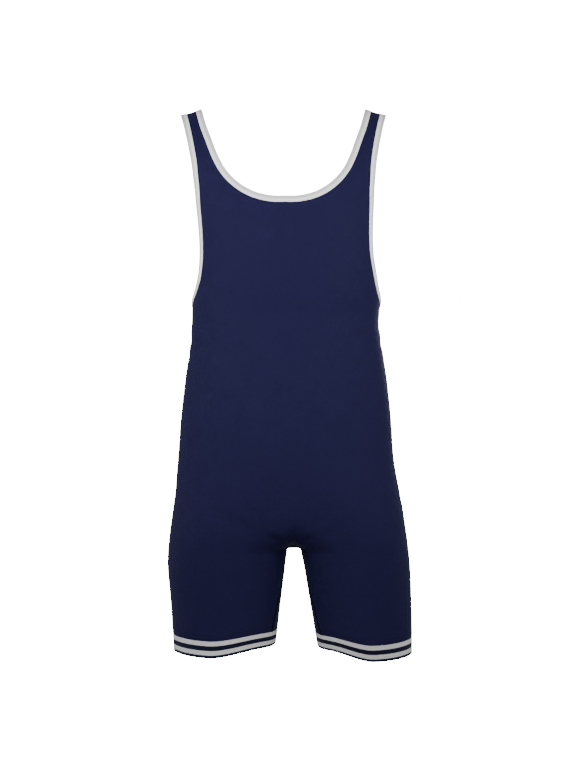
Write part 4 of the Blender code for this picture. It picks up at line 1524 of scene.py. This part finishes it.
class SINGLET_OT_stage(bpy.types.Operator):
    """Build the camera, the white stage and the soft lights"""

    bl_idname = "singlet.stage"
    bl_label = "Stage"

    def execute(self, context):
        lights = context.scene.singlet_lights
        scene = context.scene
        width, height = PHOTO_SIZE
        camera_data = bpy.data.cameras.new("photo_camera")
        camera_data.sensor_width = SENSOR
        camera_data.lens = SENSOR * CAMERA_DISTANCE / METRES_PER_PIXEL / height
        camera = place_object("photo_camera", camera_data)
        camera.location = (
            (width / 2 - ORIGIN_PIXEL[0]) * METRES_PER_PIXEL, -CAMERA_DISTANCE,
            (ORIGIN_PIXEL[1] - height / 2) * METRES_PER_PIXEL,
        )
        camera.rotation_euler = (math.radians(90), 0, 0)
        scene.camera = camera

        paper = stage_material("stage_paper", lights.backdrop)
        floor, dome = bmesh.new(), bmesh.new()
        bmesh.ops.create_circle(floor, cap_ends=True, segments=64, radius=FLOOR_RADIUS)
        bmesh.ops.translate(floor, verts=floor.verts, vec=(0, 0, FLOOR_LEVEL))
        bmesh.ops.create_uvsphere(dome, u_segments=48, v_segments=24, radius=DOME_RADIUS)
        bmesh.ops.reverse_faces(dome, faces=dome.faces)
        for name, shape in (("stage_floor", floor), ("stage_sky", dome)):
            thing = place_shape(name, shape, paper)
            for ray in ("visible_diffuse", "visible_glossy", "visible_shadow", "visible_transmission"):
                setattr(thing, ray, False)

        world = bpy.data.worlds.new("stage_world")
        scene.world = world
        world.use_nodes = True
        graph = Graph(world.node_tree)
        sky = graph.add("ShaderNodeBackground", {}, {"Color": shade(WHITE_LIGHT), "Strength": lights.sky})
        graph.add("ShaderNodeOutputWorld", {}, {"Surface": sky})

        for lamp in LAMPS:
            soft_light(lamp, getattr(lights, lamp.name))
        return {"FINISHED"}


class SINGLET_PT_panel(bpy.types.Panel):
    """Lists the singlet's pieces and their settings"""

    bl_idname = "SINGLET_PT_panel"
    bl_label = "Singlet"
    bl_space_type = "VIEW_3D"
    bl_region_type = "UI"
    bl_category = "Singlet"

    def draw(self, context):
        for operator in OPERATORS:
            self.layout.operator(operator.bl_idname)
        for group in (getattr(context.scene, name) for name in GROUPS):
            box = self.layout.box()
            for name in group.__annotations__:
                box.prop(group, name)


OPERATORS = (SINGLET_OT_panels, SINGLET_OT_bindings, SINGLET_OT_elastics, SINGLET_OT_seams, SINGLET_OT_stage)
GROUPS = {"singlet_sizes": SingletSizes, "singlet_colours": SingletColours, "singlet_lights": StageLights}


def register():
    for group in (*GROUPS.values(), *OPERATORS, SINGLET_PT_panel):
        bpy.utils.register_class(group)
    for name, group in GROUPS.items():
        setattr(bpy.types.Scene, name, bpy.props.PointerProperty(type=group))


def unregister():
    for name in GROUPS:
        delattr(bpy.types.Scene, name)
    for group in (SINGLET_PT_panel, *reversed(OPERATORS), *GROUPS.values()):
        bpy.utils.unregister_class(group)


def main():
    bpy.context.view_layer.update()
    register()
    bpy.ops.singlet.stage()
    bpy.ops.singlet.panels()
    bpy.ops.singlet.bindings()
    bpy.ops.singlet.elastics()
    bpy.ops.singlet.seams()


if __name__ == "__main__":
    main()
